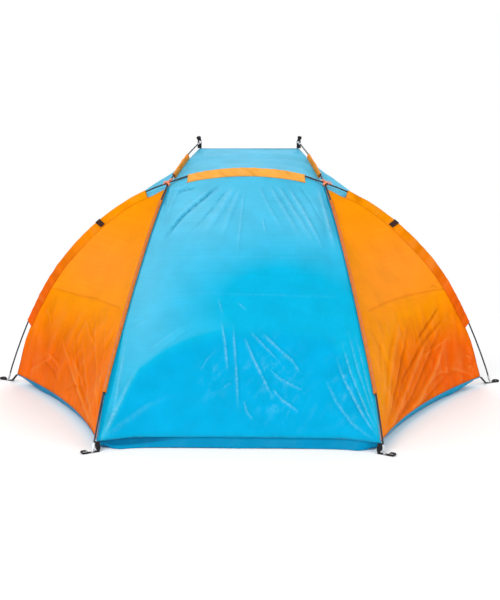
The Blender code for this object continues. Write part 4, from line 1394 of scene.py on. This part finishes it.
@dataclass(frozen=True)
class SidePanel:
    """One orange side wall, with the pocket's line across it and folds from its lower corners."""

    label: str
    pocket: tuple[Pixel, ...]
    # patches of painted light, painted shade below 0
    lights: tuple[tuple[float, Patch], ...]
    folds: tuple[Fold, ...]
    flat: tuple[float, float] = (1.02, 0.90)
    lap: float = 0.0012
    hem: tuple[float, float] = (0.010, 0.008)
    # where the painted shade along the hem near the foot lies: across the hem, and up the wall
    foot_hem: tuple[float, float] = (0.0045, 0.0020)
    foot: tuple[float, float] = (0.20, 0.12)
    pocket_wave: tuple[float, float] = (-4.0, 30.0)
    # painted shade below the pocket's line, where the pocket behind the wall holds back light: along its
    # line, and deeper further down
    pocket_line_shade: tuple[float, float] = (-1.0, 2.0)
    below_pocket_shade: tuple[float, float] = (10.0, 80.0)
    corner_reach: float = 0.08

    def build(self) -> None:
        """Folds the panel, paints light and shade on it and makes the piece."""
        # a crease along the pocket's line, with painted shade in it
        seam = Fold(
            self.pocket, width=0.0050, rise=-0.0018, shine=-0.28, fade_in=0.02, fade_out=0.02, skew=0.3
        )
        sheet = Sheet(f"{self.label}_side_panel", Finish.ORANGE, folds=(*self.folds, seam), lap=self.lap)
        edge = np.array(sorted(self.pocket))
        below = sheet.seen[:, 1] - np.interp(sheet.seen[:, 0], edge[:, 0], edge[:, 1])
        lower = soft_step(*self.pocket_wave, below)
        sheet.ripple((0.22, 0.06), 20, 0.0026, 4.4)
        # folds below the pocket's line, with painted highlights
        sheet.ripple((0.14, 0.04), 75, 0.0055, 2.5, share=lower, shine=0.30)
        sheet.ripple((0.08, 0.030), 105, 0.0016, 8.5, share=lower, shine=0.18, creased=True)
        # patches of painted light and shade, then painted shade below the pocket's line
        sheet.tone = sum(amount * patch.share(sheet.seen) for amount, patch in self.lights)
        sheet.tone -= 0.28 * soft_step(*self.pocket_line_shade, below) + 0.50 * soft_step(
            *self.below_pocket_shade, below
        )
        sheet.hem = soft_step(*self.hem, sheet.edge) * 0.25
        # painted shade along the hem near the foot
        foot = soft_step(*self.foot, sheet.rest[:, 2])
        sheet.painted_streak -= 0.8 * soft_step(*self.foot_hem, sheet.edge) * foot
        WALLS[self.label] = (sheet.rest.copy(), sheet.places - sheet.rest)
        sheet.draw_up(self.label, self.corner_reach)
        sheet.build(f"{self.label}_side_wall_cloth", "orange_cloth", self.flat, "stretched")


SIDE_PANELS = (
    SidePanel(
        "right",
        ((51, 289), (57.4, 289), (76.5, 294.6), (95.7, 298.6), (121.2, 308.1)),
        ((0.85, Patch((98, 262), (44, 40))), (-0.20, Patch((40, 355), (24, 30)))),
        (
            Fold(((96, 432), (84, 405), (72, 372), (63, 344)), 0.009, 0.0065, 0.60, 0.2, 0.4),
            Fold(((96, 430), (88, 396), (84, 356), (82, 330)), 0.009, 0.0055, 0.45, 0.2, 0.4),
            Fold(((97, 420), (97, 380), (96, 344), (96, 306)), 0.008, 0.0050, 0.40, 0.2, 0.3),
            Fold(((100, 402), (103, 366), (106, 334), (108, 308)), 0.007, 0.0045, 0.30, 0.2, 0.3),
            Fold(((90, 420), (80, 388), (76, 352), (75, 310)), 0.007, -0.0040, -0.35, 0.2),
            Fold(((48, 353), (56, 362), (62, 374)), 0.006, 0.0040, 0.45),
            Fold(((44, 361), (54, 372), (60, 388)), 0.005, -0.0035, -0.40),
            Fold(((48, 307), (50, 322), (51, 335)), 0.005, 0.0035, 0.35),
            Fold(((30, 372), (44, 362), (62, 352)), 0.007, 0.0035, 0.25),
            Fold(((62, 338), (66, 352), (74, 368)), 0.005, 0.0036, 0.45),
            Fold(((70, 354), (78, 372), (88, 398)), 0.006, 0.0040, 0.50),
            Fold(((86, 318), (90, 336), (100, 350)), 0.006, 0.0035, 0.30),
            Fold(((64, 392), (74, 386), (84, 388)), 0.006, -0.0030, -0.30),
        ),
    ),
    SidePanel(
        "left",
        ((452, 289), (441.3, 289.2), (428.6, 291.4), (409.4, 295.4), (388.7, 301.8), (368, 311.3)),
        (
            (0.85, Patch((402, 268), (46, 44))),
            (0.90, Patch((380, 375), (13, 60))),
            (-0.45, Patch((452, 358), (24, 32))),
        ),
        (
            Fold(((385, 424), (389, 388), (394, 350), (402, 312)), 0.010, 0.0065, 0.45, 0.2, 0.3),
            Fold(((387, 428), (396, 392), (404, 352), (410, 316)), 0.009, -0.0060, -0.50, 0.2, 0.3),
            Fold(((388, 432), (404, 396), (418, 360), (430, 326)), 0.010, 0.0070, 0.55, 0.2, 0.3),
            Fold(
                ((391, 432), (412, 398), (426, 366), (440, 330), (444, 312)), 0.009, -0.0060, -0.45, 0.2, 0.3
            ),
            Fold(((394, 432), (418, 402), (434, 372), (449, 328)), 0.010, 0.0070, 0.60, 0.2, 0.3),
            Fold(((398, 430), (424, 402), (446, 376), (458, 348)), 0.008, -0.0045, -0.35, 0.2, 0.4),
            Fold(((383, 412), (383, 372), (384, 332)), 0.008, 0.0045, 0.30, 0.2, 0.4),
            Fold(((440, 305), (430, 322), (414, 345)), 0.006, -0.0045, -0.60, 0.2, 0.3),
            Fold(((446, 315), (424, 342), (404, 378), (396, 410)), 0.006, -0.0045, -0.50, 0.15, 0.3),
            Fold(((465, 356), (468, 356), (472, 359)), 0.004, 0.0025, 0.50, 0.2, 0.2),
            Fold(((466, 368), (470, 366), (474, 371)), 0.004, 0.0025, 0.50, 0.2, 0.2),
            Fold(((452, 372), (440, 372), (430, 380)), 0.005, 0.0036, 0.45),
            Fold(((474, 376), (458, 370), (436, 368)), 0.007, 0.0040, 0.30),
            Fold(((421, 358), (440, 344), (456, 332)), 0.005, 0.0040, 0.40),
            Fold(((411, 322), (415, 334), (416, 348)), 0.004, 0.0028, 0.45),
            Fold(((386, 314), (388, 326), (388, 340)), 0.004, 0.0028, 0.45),
            Fold(((430, 287), (434, 285), (438, 288)), 0.004, -0.0020, -0.40, 0.2, 0.2),
        ),
    ),
)


@dataclass(frozen=True)
class Awning:
    """The blue roof that runs forward from the crossings to the two tips."""

    flat: tuple[float, float] = (1.10, 0.80)
    lap: float = 0.0012
    # rows above which the roof's front gets painted shade
    front_rows: tuple[float, float] = (149.8, 148.8)
    hem: tuple[float, float] = (0.014, 0.011)

    def build(self) -> None:
        """Gives the roof light waves with painted highlights, paints it in the cloth's lit copy with painted
        shade along its front, and makes the piece.
        """
        sheet = Sheet("awning", Finish.ROOF, lap=self.lap)
        # waves with painted highlights
        sheet.ripple((0.30, 0.06), 0, 0.0040, 1.3, shine=0.15)
        sheet.ripple((0.12, 0.04), 60, 0.0020, 5.3)
        # the whole roof in the cloth's lit copy: painted light; then painted shade along its front
        sheet.tone = np.full(len(sheet.rest), 1.0)
        sheet.painted_streak -= 0.45 * soft_step(*self.front_rows, sheet.seen[:, 1])
        sheet.hem = soft_step(*self.hem, sheet.edge)
        sheet.build("awning_cloth", "blue_cloth", self.flat, "stretched")


@dataclass(frozen=True)
class GroundSheet:
    """The floor, with its edges turned up to the walls and its corners lifted by the straps."""

    flat: tuple[float, float] = (2.20, 1.20)
    rear_corner: tuple[float, float] = (0.522, 0.660)
    side_corner: tuple[float, float] = (1.047, -0.412)
    lip_foot: tuple[float, float] = (0.001, 0.012)
    lip_top: float = 0.034
    lip_reach: float = 0.30
    lift_share: tuple[float, float] = (0.16, 0.0)
    rear_lift_reach: float = 0.06
    side_lift_reach: float = 0.26
    slump_out: float = 0.034
    tuck_in: float = 0.022
    tuck_start: float = 0.22
    # the rear rim's corner of painted shade: the columns it fades over, the row of its edge and that edge's
    # fall
    shade_columns: tuple[float, float] = (190.0, 150.0)
    shade_row: float = 445.0
    shade_fall: float = 0.085
    # the band along the rear rim's hem that gets painted shadow
    hem: tuple[float, float] = (0.010, 0.003)

    def lift_corners(self, sheet: Sheet) -> None:
        """Lifts the floor where the straps hold its four corners.

        Args:
            sheet: The floor.
        """
        across = np.abs(sheet.rest[:, 0])
        share = np.zeros(len(across))
        by_rear = soft_step(-0.16, -0.05, sheet.rest[:, 1] - self.rear_corner[1])
        for corner, rear_share in ((self.rear_corner, by_rear), (self.side_corner, 0.0)):
            far = np.hypot(across - corner[0], sheet.rest[:, 1] - corner[1])
            near_side = soft_step(self.side_lift_reach, 0.0, far)
            near_rear = soft_step(self.rear_lift_reach, 0.0, far)
            share = np.maximum(share, near_side + rear_share * (near_rear - near_side))
        share *= soft_step(*self.lift_share, sheet.edge)
        sheet.places[:, 2] += share * np.clip(self.lip_top - sheet.places[:, 2], 0.0, None)

    def slump(self, sheet: Sheet) -> None:
        """Lets the slack below the rear wall bulge out, and tucks it in below the side walls.

        Args:
            sheet: The floor.
        """
        across, ahead, high = sheet.rest.T
        behind = self.rear_corner[1] - ahead
        low = np.clip(1.0 - high / self.lip_top, 0.0, 1.0) * soft_step(self.lip_reach, 0.0, sheet.edge)
        middle = soft_step(self.rear_corner[0] - 0.03, self.rear_corner[0] - 0.085, np.abs(across))
        sheet.places[:, 1] += self.slump_out * low * (soft_step(0.25, 0.05, behind) * middle)
        beside = soft_step(0.0, 0.12, behind) * soft_step(0.0, 0.3, ahead - self.side_corner[1])
        beside *= soft_step(self.rear_corner[0] - self.tuck_start, self.rear_corner[0], np.abs(across))
        near = soft_step(self.lip_reach, 0.05, sheet.edge)
        sheet.places[:, 0] -= self.tuck_in * np.sign(across) * low * beside * near

    def shade(self, sheet: Sheet, lip: np.ndarray) -> None:
        """Paints shade and light on the floor's rims: painted shadow along the rear rim's hem, painted shade
        in the rear rim's corner, and painted light on the side rims.

        Args:
            sheet: The floor.
            lip: How far each place belongs to the turned-up rim.
        """
        across, down = sheet.seen.T
        # painted shade in the rear rim's corner
        above = self.shade_row - (across - 110.0) * self.shade_fall - down
        shaded = soft_step(*self.shade_columns, across) * soft_step(-0.8, 0.8, above)
        sheet.tone = -0.9 * shaded * soft_step(0.004, 0.010, sheet.rest[:, 2])
        # painted light on the side rims, painted shadow along the rear rim's hem
        behind = soft_step(0.50, 0.58, sheet.rest[:, 1])
        sheet.tone += 0.9 * (1.0 - behind) * lip
        sheet.painted_streak -= 0.45 * soft_step(*self.hem, sheet.edge) * behind

    def build(self) -> None:
        """Slumps and lifts the floor, gives its edge rumples with painted highlights, paints light and shade
        on it and makes the piece.
        """
        sheet = Sheet("floor", Finish.FLOOR, levels=4, sharp=35.0, stitch_inset=0.0)
        self.slump(sheet)
        lip = soft_step(*self.lip_foot, sheet.rest[:, 2])
        # rumples of the turned-up rim, with painted highlights
        sheet.ripple((0.10, 0.04), 15, 0.0030, 6.1, share=lip, shine=0.10, hold=0.004)
        sheet.ripple((0.05, 0.02), 60, 0.0010, 2.1, share=lip, shine=0.05, creased=True, hold=0.004)
        self.lift_corners(sheet)
        self.shade(sheet, lip)
        sheet.build("floor_cloth", "floor_sheet", self.flat, "laid")


@dataclass(frozen=True)
class Sleeve:
    """One kind of sleeve: its cut, its finish, its painted light, and the painted highlight on its puckers.
    """

    flat: tuple[float, float]
    finish: Finish = Finish.ORANGE
    # painted light, painted shade below 0; then the painted highlight on the puckers of the left and of the
    # right sleeve, painted shade below 0
    tone: float = 0.0
    shine: tuple[float, float] = (0.30, 0.30)


@dataclass(frozen=True)
class Sleeves:
    """The orange sleeves that hold the poles."""

    # the top sleeve's orange is painted lighter, as if lit from above: painted light
    centre: Sleeve = Sleeve((0.64, 0.075), Finish.BLEACHED, shine=(-0.55, -0.55))
    side: Sleeve = Sleeve((1.10, 0.12), shine=(0.75, 0.45))
    seam: Sleeve = Sleeve((1.28, 0.045), Finish.BINDING)
    # the awning sleeves take that painted light too, moved most of the way to its painted shade
    awning: Sleeve = Sleeve((0.32, 0.045), Finish.BLEACHED, tone=-0.8)
    pucker: tuple[float, float] = (0.06, 0.016)
    pucker_rise: float = 0.0022
    pucker_turn: float = 35.0
    # painted shade on the side sleeves towards the foot: the heights it fades over, and its strength
    foot: tuple[float, float] = (0.85, 0.35)
    foot_shade: float = 1.0
    # the band along the seam binding's edges that gets a painted highlight
    binding_edge: float = 0.0095
    hem: tuple[float, float] = (0.005, 0.003)

    def sew(self, name: str, kind: Sleeve, number: int) -> None:
        """Makes one sleeve with its puckers, their painted highlights, and its painted light and shade.

        Args:
            name: The sleeve's CAD node.
            kind: What kind it is.
            number: Picks its puckers.
        """
        sheet = Sheet(name, kind.finish)
        left = name.startswith("left")
        turn = self.pucker_turn if left else -self.pucker_turn
        shine = kind.shine[0 if left else 1]
        # puckers with painted highlights
        sheet.ripple(self.pucker, turn, self.pucker_rise, 11.0 + number, shine=shine, hold=0.004)
        sheet.tone = np.full(len(sheet.rest), kind.tone)
        # painted highlight along the binding's edges, on its sides
        if kind is self.seam:
            on_side = soft_step(0.15, 0.30, np.abs(sheet.normals[:, 0]))
            edge = soft_step(self.binding_edge + 0.002, self.binding_edge - 0.002, sheet.edge)
            sheet.tone += on_side * edge
        # painted shade on the side sleeves, darker towards the foot
        if kind is self.side:
            sheet.tone -= self.foot_shade * soft_step(*self.foot, sheet.rest[:, 2])
        sheet.hem = soft_step(*self.hem, sheet.edge) * 0.35
        sheet.build(f"{name}_cloth", "orange_cloth", kind.flat, "stretched")

    def build(self) -> None:
        """Makes every sleeve."""
        self.sew("centre_sleeve", self.centre, 0)
        pairs = {"side_sleeve": self.side, "seam_sleeve": self.seam, "awning_sleeve": self.awning}
        names = [(f"{side}_{name}", kind) for side in SIDES for name, kind in pairs.items()]
        for number, (name, kind) in enumerate(names, 1):
            self.sew(name, kind, number)


@dataclass(frozen=True)
class Pockets:
    """The inner pockets behind the side walls."""

    flat: tuple[float, float] = (0.75, 0.56)
    slack: float = 0.004
    behind: float = 0.0008
    # painted shade: the pocket's colour moved towards the cloth's shaded copy
    tone: float = -0.3
    hem: tuple[float, float] = (0.012, 0.010)

    def build(self) -> None:
        """Makes both pockets."""
        for side in SIDES:
            sheet = Sheet(f"{side}_inner_pocket", Finish.ORANGE)
            # waves with painted highlights
            sheet.ripple((0.14, 0.06), 60, 0.0040, 14.0, shine=0.2)
            self.follow_wall(sheet, side)
            sheet.tone = np.full(len(sheet.rest), self.tone)
            sheet.hem = soft_step(*self.hem, sheet.edge)
            sheet.build(f"{side}_pocket_cloth", "orange_cloth", self.flat, "hung")

    def follow_wall(self, sheet: Sheet, side: str) -> None:
        """Gives the pocket its wall's folds, and lets it hang a little inside them.

        Args:
            sheet: The pocket.
            side: The wall's side.
        """
        places, moves = WALLS[side]
        tree = KDTree(len(places))
        for number, place in enumerate(places):
            tree.insert(place, number)
        tree.balance()
        nearest = [tree.find(place)[1] for place in sheet.rest]
        sheet.places += moves[nearest]
        inwards = self.slack * soft_step(0.0, 0.03, sheet.edge) + self.behind
        sheet.places -= inwards[:, None] * sheet.normals


@dataclass(frozen=True)
class Webbing:
    """Straps, loops and bands of woven tape."""

    bevel: float = 0.0003
    sharp: float = 60.0
    flat: float = 1.0
    row_height: float = 0.006
    rows: int = 5
    strap_turn: tuple[float, float] = (0.003, 0.012)
    slice_height: float = 0.002
    loop_turn: float = 78.0
    loop_hold: float = 0.026
    loop_turn_run: tuple[float, float] = (0.004, 0.012)

    def tape(
        self,
        node: str,
        body: str,
        finish: Finish,
        slot: str,
        shaping: Callable[[bmesh.types.BMesh], None] | None = None,
    ) -> None:
        """Makes one tape from its CAD solid, with rounded edges and its own map.

        Args:
            node: The CAD node.
            body: The body that it rides on.
            finish: Its finish.
            slot: The record's material slot.
            shaping: What bends or turns the tape, if anything does.
        """
        mesh = bmesh.new()
        mesh.from_mesh(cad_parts[node].data)
        bmesh.ops.remove_doubles(mesh, verts=mesh.verts, dist=WELD)
        bmesh.ops.dissolve_limit(
            mesh, angle_limit=math.radians(self.flat), verts=mesh.verts, edges=mesh.edges
        )
        rises = [(edge, abs(edge.verts[0].co.z - edge.verts[1].co.z)) for edge in mesh.edges]
        tall = [edge for edge, rise in rises if rise > self.row_height]
        if shaping and tall:
            bmesh.ops.subdivide_edges(mesh, edges=tall, cuts=self.rows, use_grid_fill=True)
        limit = math.radians(self.sharp)
        sharp = [edge for edge in mesh.edges if edge.is_manifold and edge.calc_face_angle() > limit]
        bmesh.ops.bevel(
            mesh, geom=sharp, offset=self.bevel, segments=2, affect="EDGES", profile=0.5, material=-1
        )
        if shaping:
            shaping(mesh)
        piece = object_from(mesh, f"{node}_tape", finish)
        self.write_map(piece.data)
        settle(piece, body, slot, node)

    @staticmethod
    def write_map(data: bpy.types.Mesh) -> None:
        """Writes the tape's map: along it, then across it.

        Args:
            data: The tape's mesh.
        """
        places = np.array([vertex.co[:] for vertex in data.vertices])
        middle = places - places.mean(0)
        axes = np.linalg.svd(middle, full_matrices=False)[2]
        across = min(axes, key=lambda axis: abs(axis[2]) + abs(np.ptp(middle @ axis) - TAPE_WIDTH))
        along = np.cross(across, [0.0, 0.0, 1.0])
        layer = data.uv_layers.new(name="cloth")
        corners = np.empty(len(data.loops), dtype=int)
        data.loops.foreach_get("vertex_index", corners)
        flat = np.column_stack([places @ along + places[:, 2], places @ across])[corners]
        layer.data.foreach_set("uv", flat.ravel())

    def face_backwards(self, mesh: bmesh.types.BMesh) -> None:
        """Turns the upright part of a rear foot strap until it faces backwards.

        Args:
            mesh: The strap's mesh.
        """
        upright = np.array([vertex.co[:] for vertex in mesh.verts if vertex.co.z > self.strap_turn[1]])
        lean = [np.polyfit(upright[:, 2], upright[:, axis], 1) for axis in (0, 1)]
        head = upright[upright[:, 2] > upright[:, 2].max() - self.slice_height]
        run = np.linalg.svd(head - head.mean(0))[2][0]
        angle = math.atan(run[1] / run[0])
        for vertex in mesh.verts:
            share = float(soft_step(*self.strap_turn, vertex.co.z))
            middle = Vector([float(np.polyval(line, vertex.co.z)) for line in lean])
            turn = Matrix.Rotation(-angle * share, 2)
            vertex.co.xy = middle + turn @ (vertex.co.xy - middle)

    def turn_loop(self, mesh: bmesh.types.BMesh) -> None:
        """Turns a tip's loop outwards above its eyelet, so that it stands open.

        Args:
            mesh: The tip strap's mesh.
        """
        side = 1.0 if mesh.verts[:][0].co.x > 0 else -1.0
        low = min(vertex.co.z for vertex in mesh.verts)
        stem = [vertex.co.copy() for vertex in mesh.verts if vertex.co.z < low + self.slice_height]
        middle = sum(stem, Vector()) / len(stem)
        hold = low + self.loop_hold
        for vertex in mesh.verts:
            share = float(soft_step(*self.loop_turn_run, vertex.co.z - hold))
            turn = Matrix.Rotation(side * math.radians(self.loop_turn) * share, 3, "Z")
            flat = Vector((vertex.co.x - middle.x, vertex.co.y - middle.y, 0.0))
            vertex.co.xy = (middle + turn @ flat).xy

    def build(self) -> None:
        """Makes every strap, loop and band."""
        for side in SIDES:
            for place, shaping in (("rear", self.face_backwards), ("side", None)):
                self.tape(f"{side}_{place}_foot_strap", TENT, Finish.TAPE, "webbing", shaping)
                loop = f"{side}_{place}_peg_loop"
                self.tape(loop, loop, Finish.TAPE, "webbing")
            self.tape(f"{side}_tip_strap", TENT, Finish.TAPE, "webbing", self.turn_loop)
            self.tape(f"{side}_band", TENT, Finish.BAND, "webbing")
        CrossingBow("right", 0.05, 0.034, 0.018).build()
        CrossingBow("left", 0.45, 0.026, 0.028).build()


@dataclass(frozen=True)
class CrossingBow:
    """The salmon ribbon round two crossed poles: its ring, a knot, two loops and two tails."""

    side: str
    slope: float
    inner_reach: float
    outer_reach: float
    ribbon: float = 0.0085
    wall: float = 0.0005
    knot: float = 0.0045
    knot_shape: tuple[float, float, float, float] = (1.1, 0.75, 1.0, 1.0)
    loop_share: float = 0.75
    loop_high: float = 0.0045
    loop_lean: float = 0.4
    loop_widths: tuple[float, float] = (0.45, 0.55)
    tail_sweep: float = 0.3
    tail_wave: float = 0.003
    tail_turns: float = 4.0
    tail_widths: tuple[float, float] = (0.5, 0.4)
    above: float = 0.0105
    arch_reach: float = 0.08
    steps: int = 18

    def axes(self) -> tuple[Vector, Vector, Vector, Vector]:
        """Where the bow sits.

        Returns:
            The crossing's place, and the ways along the arch, outwards and across.
        """
        centre = crossing_of(self.side)
        near = [
            vertex.co[:]
            for name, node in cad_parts.items()
            if name.startswith("arch_pole_section")
            for vertex in node.data.vertices
            if (vertex.co - centre).length < self.arch_reach
        ]
        run = np.linalg.svd(np.array(near) - np.mean(near, axis=0))[2][0]
        along = Vector(run) * (1.0 if run[2] > 0 else -1.0)
        out = centre - HEART
        out = (out - out.dot(along) * along).normalized()
        return centre, along, out, along.cross(out)

    def band(self, mesh: bmesh.types.BMesh, path: list[Vector], widths: list[Vector]) -> None:
        """Extrudes a ribbon's edge along a path, and gives it its wall.

        Args:
            mesh: The bow's mesh, which it is added to.
            path: The ribbon's middle line.
            widths: The way across it and its width, at each place.
        """
        start = [mesh.verts.new(path[0] + side * widths[0] / 2) for side in (-1, 1)]
        edges = [mesh.edges.new(start)]
        faces = []
        for before, place, width in zip(path, path[1:], widths[1:]):
            made = bmesh.ops.extrude_edge_only(mesh, edges=edges)["geom"]
            verts = [item for item in made if isinstance(item, bmesh.types.BMVert)]
            new_edges = [item for item in made if isinstance(item, bmesh.types.BMEdge)]
            edges = [edge for edge in new_edges if set(edge.verts) == set(verts)]
            faces += [item for item in made if isinstance(item, bmesh.types.BMFace)]
            middle = sum((vertex.co for vertex in verts), Vector()) / 2
            for vertex in verts:
                side = 1 if (vertex.co - middle).dot(width) > 0 else -1
                vertex.co = place + side * width / 2
        bmesh.ops.solidify(mesh, geom=faces, thickness=self.wall)

    def build(self) -> None:
        """Ties the bow."""
        centre, along, out, across = self.axes()
        mesh = bmesh.new()
        mesh.from_mesh(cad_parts[f"{self.side}_crossing_tie"].data)
        bmesh.ops.remove_doubles(mesh, verts=mesh.verts, dist=WELD)
        heart = centre + self.above * out
        turn = Matrix((along, out, across)).transposed().to_4x4()
        shape = Matrix.Translation(heart) @ turn @ Matrix.Diagonal(self.knot_shape)
        bmesh.ops.create_uvsphere(mesh, u_segments=16, v_segments=10, radius=self.knot, matrix=shape)
        outward = Vector((math.copysign(1.0, centre.x), 0.0, -self.slope))
        outward = (outward - outward.dot(out) * out).normalized()
        width = self.ribbon * outward.cross(out)
        shares = [k / self.steps for k in range(self.steps + 1)]
        for way, reach in ((1, self.outer_reach), (-1, self.inner_reach)):
            loop = [
                heart
                + self.loop_share * reach * math.sin(math.pi * t) * way * outward
                + self.loop_high * (math.sin(2 * math.pi * t) + self.loop_lean * math.sin(math.pi * t)) * out
                for t in shares
            ]
            least, more = self.loop_widths
            self.band(mesh, loop, [width * (least + more * math.sin(math.pi * t)) for t in shares])
            tail = [
                heart
                + reach * t * way * outward
                - self.tail_sweep * way * reach * t * t * width.normalized()
                + self.tail_wave * math.sin(self.tail_turns * t + way) * out
                for t in shares
            ]
            least, more = self.tail_widths
            self.band(mesh, tail, [width * (least + more * t) for t in shares])
        bmesh.ops.recalc_face_normals(mesh, faces=mesh.faces)
        piece = object_from(mesh, f"{self.side}_crossing_bow", Finish.RIBBON, smooth=True)
        Webbing.write_map(piece.data)
        settle(piece, TENT, "tie_ribbon", f"{self.side}_crossing_tie")


@dataclass(frozen=True)
class Eyelets:
    """The metal rings in the straps, through which the poles' pins pass."""

    radius: float = 0.0064
    rim: float = 0.0013
    hole: tuple[float, float] = (0.0044, 0.0056)
    wire_sides: int = 10
    ring_steps: int = 32

    def seat(self, strap: str, cap: str) -> tuple[Vector, Vector]:
        """The hole in a strap, found round a pole's cap.

        Args:
            strap: The strap's CAD node.
            cap: The cap's CAD node.

        Returns:
            The hole's middle and its direction.
        """
        pin = np.array([vertex.co[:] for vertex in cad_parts[cap].data.vertices])
        middle = pin.mean(0)
        axis = np.linalg.svd(pin - middle)[2][0]
        rim = np.array([vertex.co[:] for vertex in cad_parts[strap].data.vertices])
        apart = rim - middle
        apart -= (apart @ axis)[:, None] * axis
        far = np.linalg.norm(apart, axis=1)
        rim = rim[(far > self.hole[0]) & (far < self.hole[1])]
        return Vector(rim.mean(0)), Vector(np.linalg.svd(rim - rim.mean(0))[2][2])

    def build(self) -> None:
        """Presses an eyelet into each strap."""
        seats = [
            (f"{side}_{place}", cap)
            for side, arch_end in (("left", "start"), ("right", "end"))
            for place, cap in (
                ("rear_foot_strap", f"{side}_pole_start_cap"),
                ("side_foot_strap", f"arch_pole_{arch_end}_cap"),
                ("tip_strap", f"{side}_pole_end_cap"),
            )
        ]
        for strap, cap in seats:
            middle, axis = self.seat(strap, cap)
            turn = axis.to_track_quat("Z", "Y").to_matrix().to_4x4()
            mesh = bmesh.new()
            ring = bmesh.ops.create_circle(mesh, segments=self.wire_sides, radius=self.rim)["verts"]
            bmesh.ops.rotate(mesh, verts=ring, matrix=Matrix.Rotation(math.pi / 2, 3, "X"))
            bmesh.ops.translate(mesh, verts=ring, vec=(self.radius, 0.0, 0.0))
            bmesh.ops.spin(
                mesh,
                geom=mesh.edges[:],
                cent=(0.0, 0.0, 0.0),
                axis=(0.0, 0.0, 1.0),
                angle=2 * math.pi,
                steps=self.ring_steps,
                use_merge=True,
            )
            bmesh.ops.remove_doubles(mesh, verts=mesh.verts, dist=WELD)
            bmesh.ops.recalc_face_normals(mesh, faces=mesh.faces)
            bmesh.ops.transform(mesh, verts=mesh.verts, matrix=Matrix.Translation(middle) @ turn)
            piece = object_from(mesh, f"{strap}_eyelet", Finish.EYELET, smooth=True)
            settle(piece, TENT, "steel")
            LOG.info("%s eyelet at %s", strap, [round(value, 4) for value in middle])


class Poles:
    """The CAD's own tubes, ferrules, caps and cords, with their finishes."""

    @staticmethod
    def finish_for(node: str) -> Finish:
        """The finish of one CAD node of a pole.

        Args:
            node: The node's name.

        Returns:
            Its finish.
        """
        if "shock_cord" in node:
            return Finish.ELASTIC
        if "_cap" in node:
            return Finish.STEEL
        return Finish.FIBRE

    def build(self) -> None:
        """Gives each pole node its finish."""
        for name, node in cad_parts.items():
            if any(word in name for word in ("_section_", "_ferrule_", "_cap", "_shock_cord")):
                node.data.materials.clear()
                node.data.materials.append(self.finish_for(name).material)


@dataclass(frozen=True)
class Softbox:
    """A large square lamp that looks at the tent."""

    name: str
    place: tuple[float, float, float]
    size: float
    watts: float
    aim: tuple[float, float, float] = (0.0, 0.0, 0.45)

    def build(self) -> None:
        """Hangs the lamp."""
        data = bpy.data.lights.new(self.name, "AREA")
        data.size = self.size
        data.energy = self.watts
        lamp = bpy.data.objects.new(self.name, data)
        turn = (Vector(self.aim) - Vector(self.place)).to_track_quat("-Z", "Y").to_matrix().to_4x4()
        lamp.matrix_world = Matrix.Translation(self.place) @ turn
        bpy.context.scene.collection.objects.link(lamp)


@dataclass(frozen=True)
class Studio:
    """A pale floor, a white surround and soft lamps."""

    ground_size: float = 30.0
    ground_drop: float = 0.0004
    world_light: float = 0.78
    lamps: tuple[Softbox, ...] = (
        Softbox("key", (2.2, 4.2, 3.6), 2.4, 128.0),
        Softbox("fill", (-3.6, 3.4, 2.2), 2.4, 54.0),
        Softbox("front", (0.0, -4.5, 3.0), 3.0, 90.0),
    )

    def build(self) -> None:
        """Makes the stage, the world and the lamps."""
        mesh = bmesh.new()
        bmesh.ops.create_grid(mesh, x_segments=1, y_segments=1, size=self.ground_size / 2)
        bmesh.ops.translate(mesh, verts=mesh.verts, vec=(0.0, 0.0, -self.ground_drop))
        object_from(mesh, "ground", Finish.GROUND)
        for lamp in self.lamps:
            lamp.build()
        self.world()
        bpy.context.scene.view_settings.view_transform = "Standard"

    def world(self) -> None:
        """Lights the scene softly, and shows white to the camera and in reflections."""
        world = bpy.data.worlds.new("studio")
        bpy.context.scene.world = world
        world.use_nodes = True
        tree = world.node_tree
        tree.nodes.clear()
        path = tree.nodes.new("ShaderNodeLightPath")
        seen = path.outputs["Is Camera Ray"]
        for ray in ("Is Glossy Ray", "Is Transmission Ray"):
            either = tree.nodes.new("ShaderNodeMath")
            either.operation = "MAXIMUM"
            tree.links.new(seen, either.inputs[0])
            tree.links.new(path.outputs[ray], either.inputs[1])
            seen = either.outputs[0]
        strength = tree.nodes.new("ShaderNodeMapRange")
        strength.inputs["To Min"].default_value = self.world_light
        strength.inputs["To Max"].default_value = 1.0
        tree.links.new(seen, strength.inputs["Value"])
        light = tree.nodes.new("ShaderNodeBackground")
        light.inputs["Color"].default_value = (1.0, 1.0, 1.0, 1.0)
        tree.links.new(strength.outputs[0], light.inputs["Strength"])
        output = tree.nodes.new("ShaderNodeOutputWorld")
        tree.links.new(light.outputs[0], output.inputs[0])


def main() -> None:
    """Builds the tent's looks and its stage."""
    logging.basicConfig(level=logging.INFO, format="%(message)s")
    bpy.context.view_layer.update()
    PHOTO.build()
    cloth = (RearPanel(), *SIDE_PANELS, Awning(), GroundSheet(), Sleeves(), Pockets())
    for part in (*cloth, Webbing(), Eyelets(), Poles(), Studio()):
        part.build()
        LOG.info("%s done", type(part).__name__)


if __name__ == "__main__":
    main()
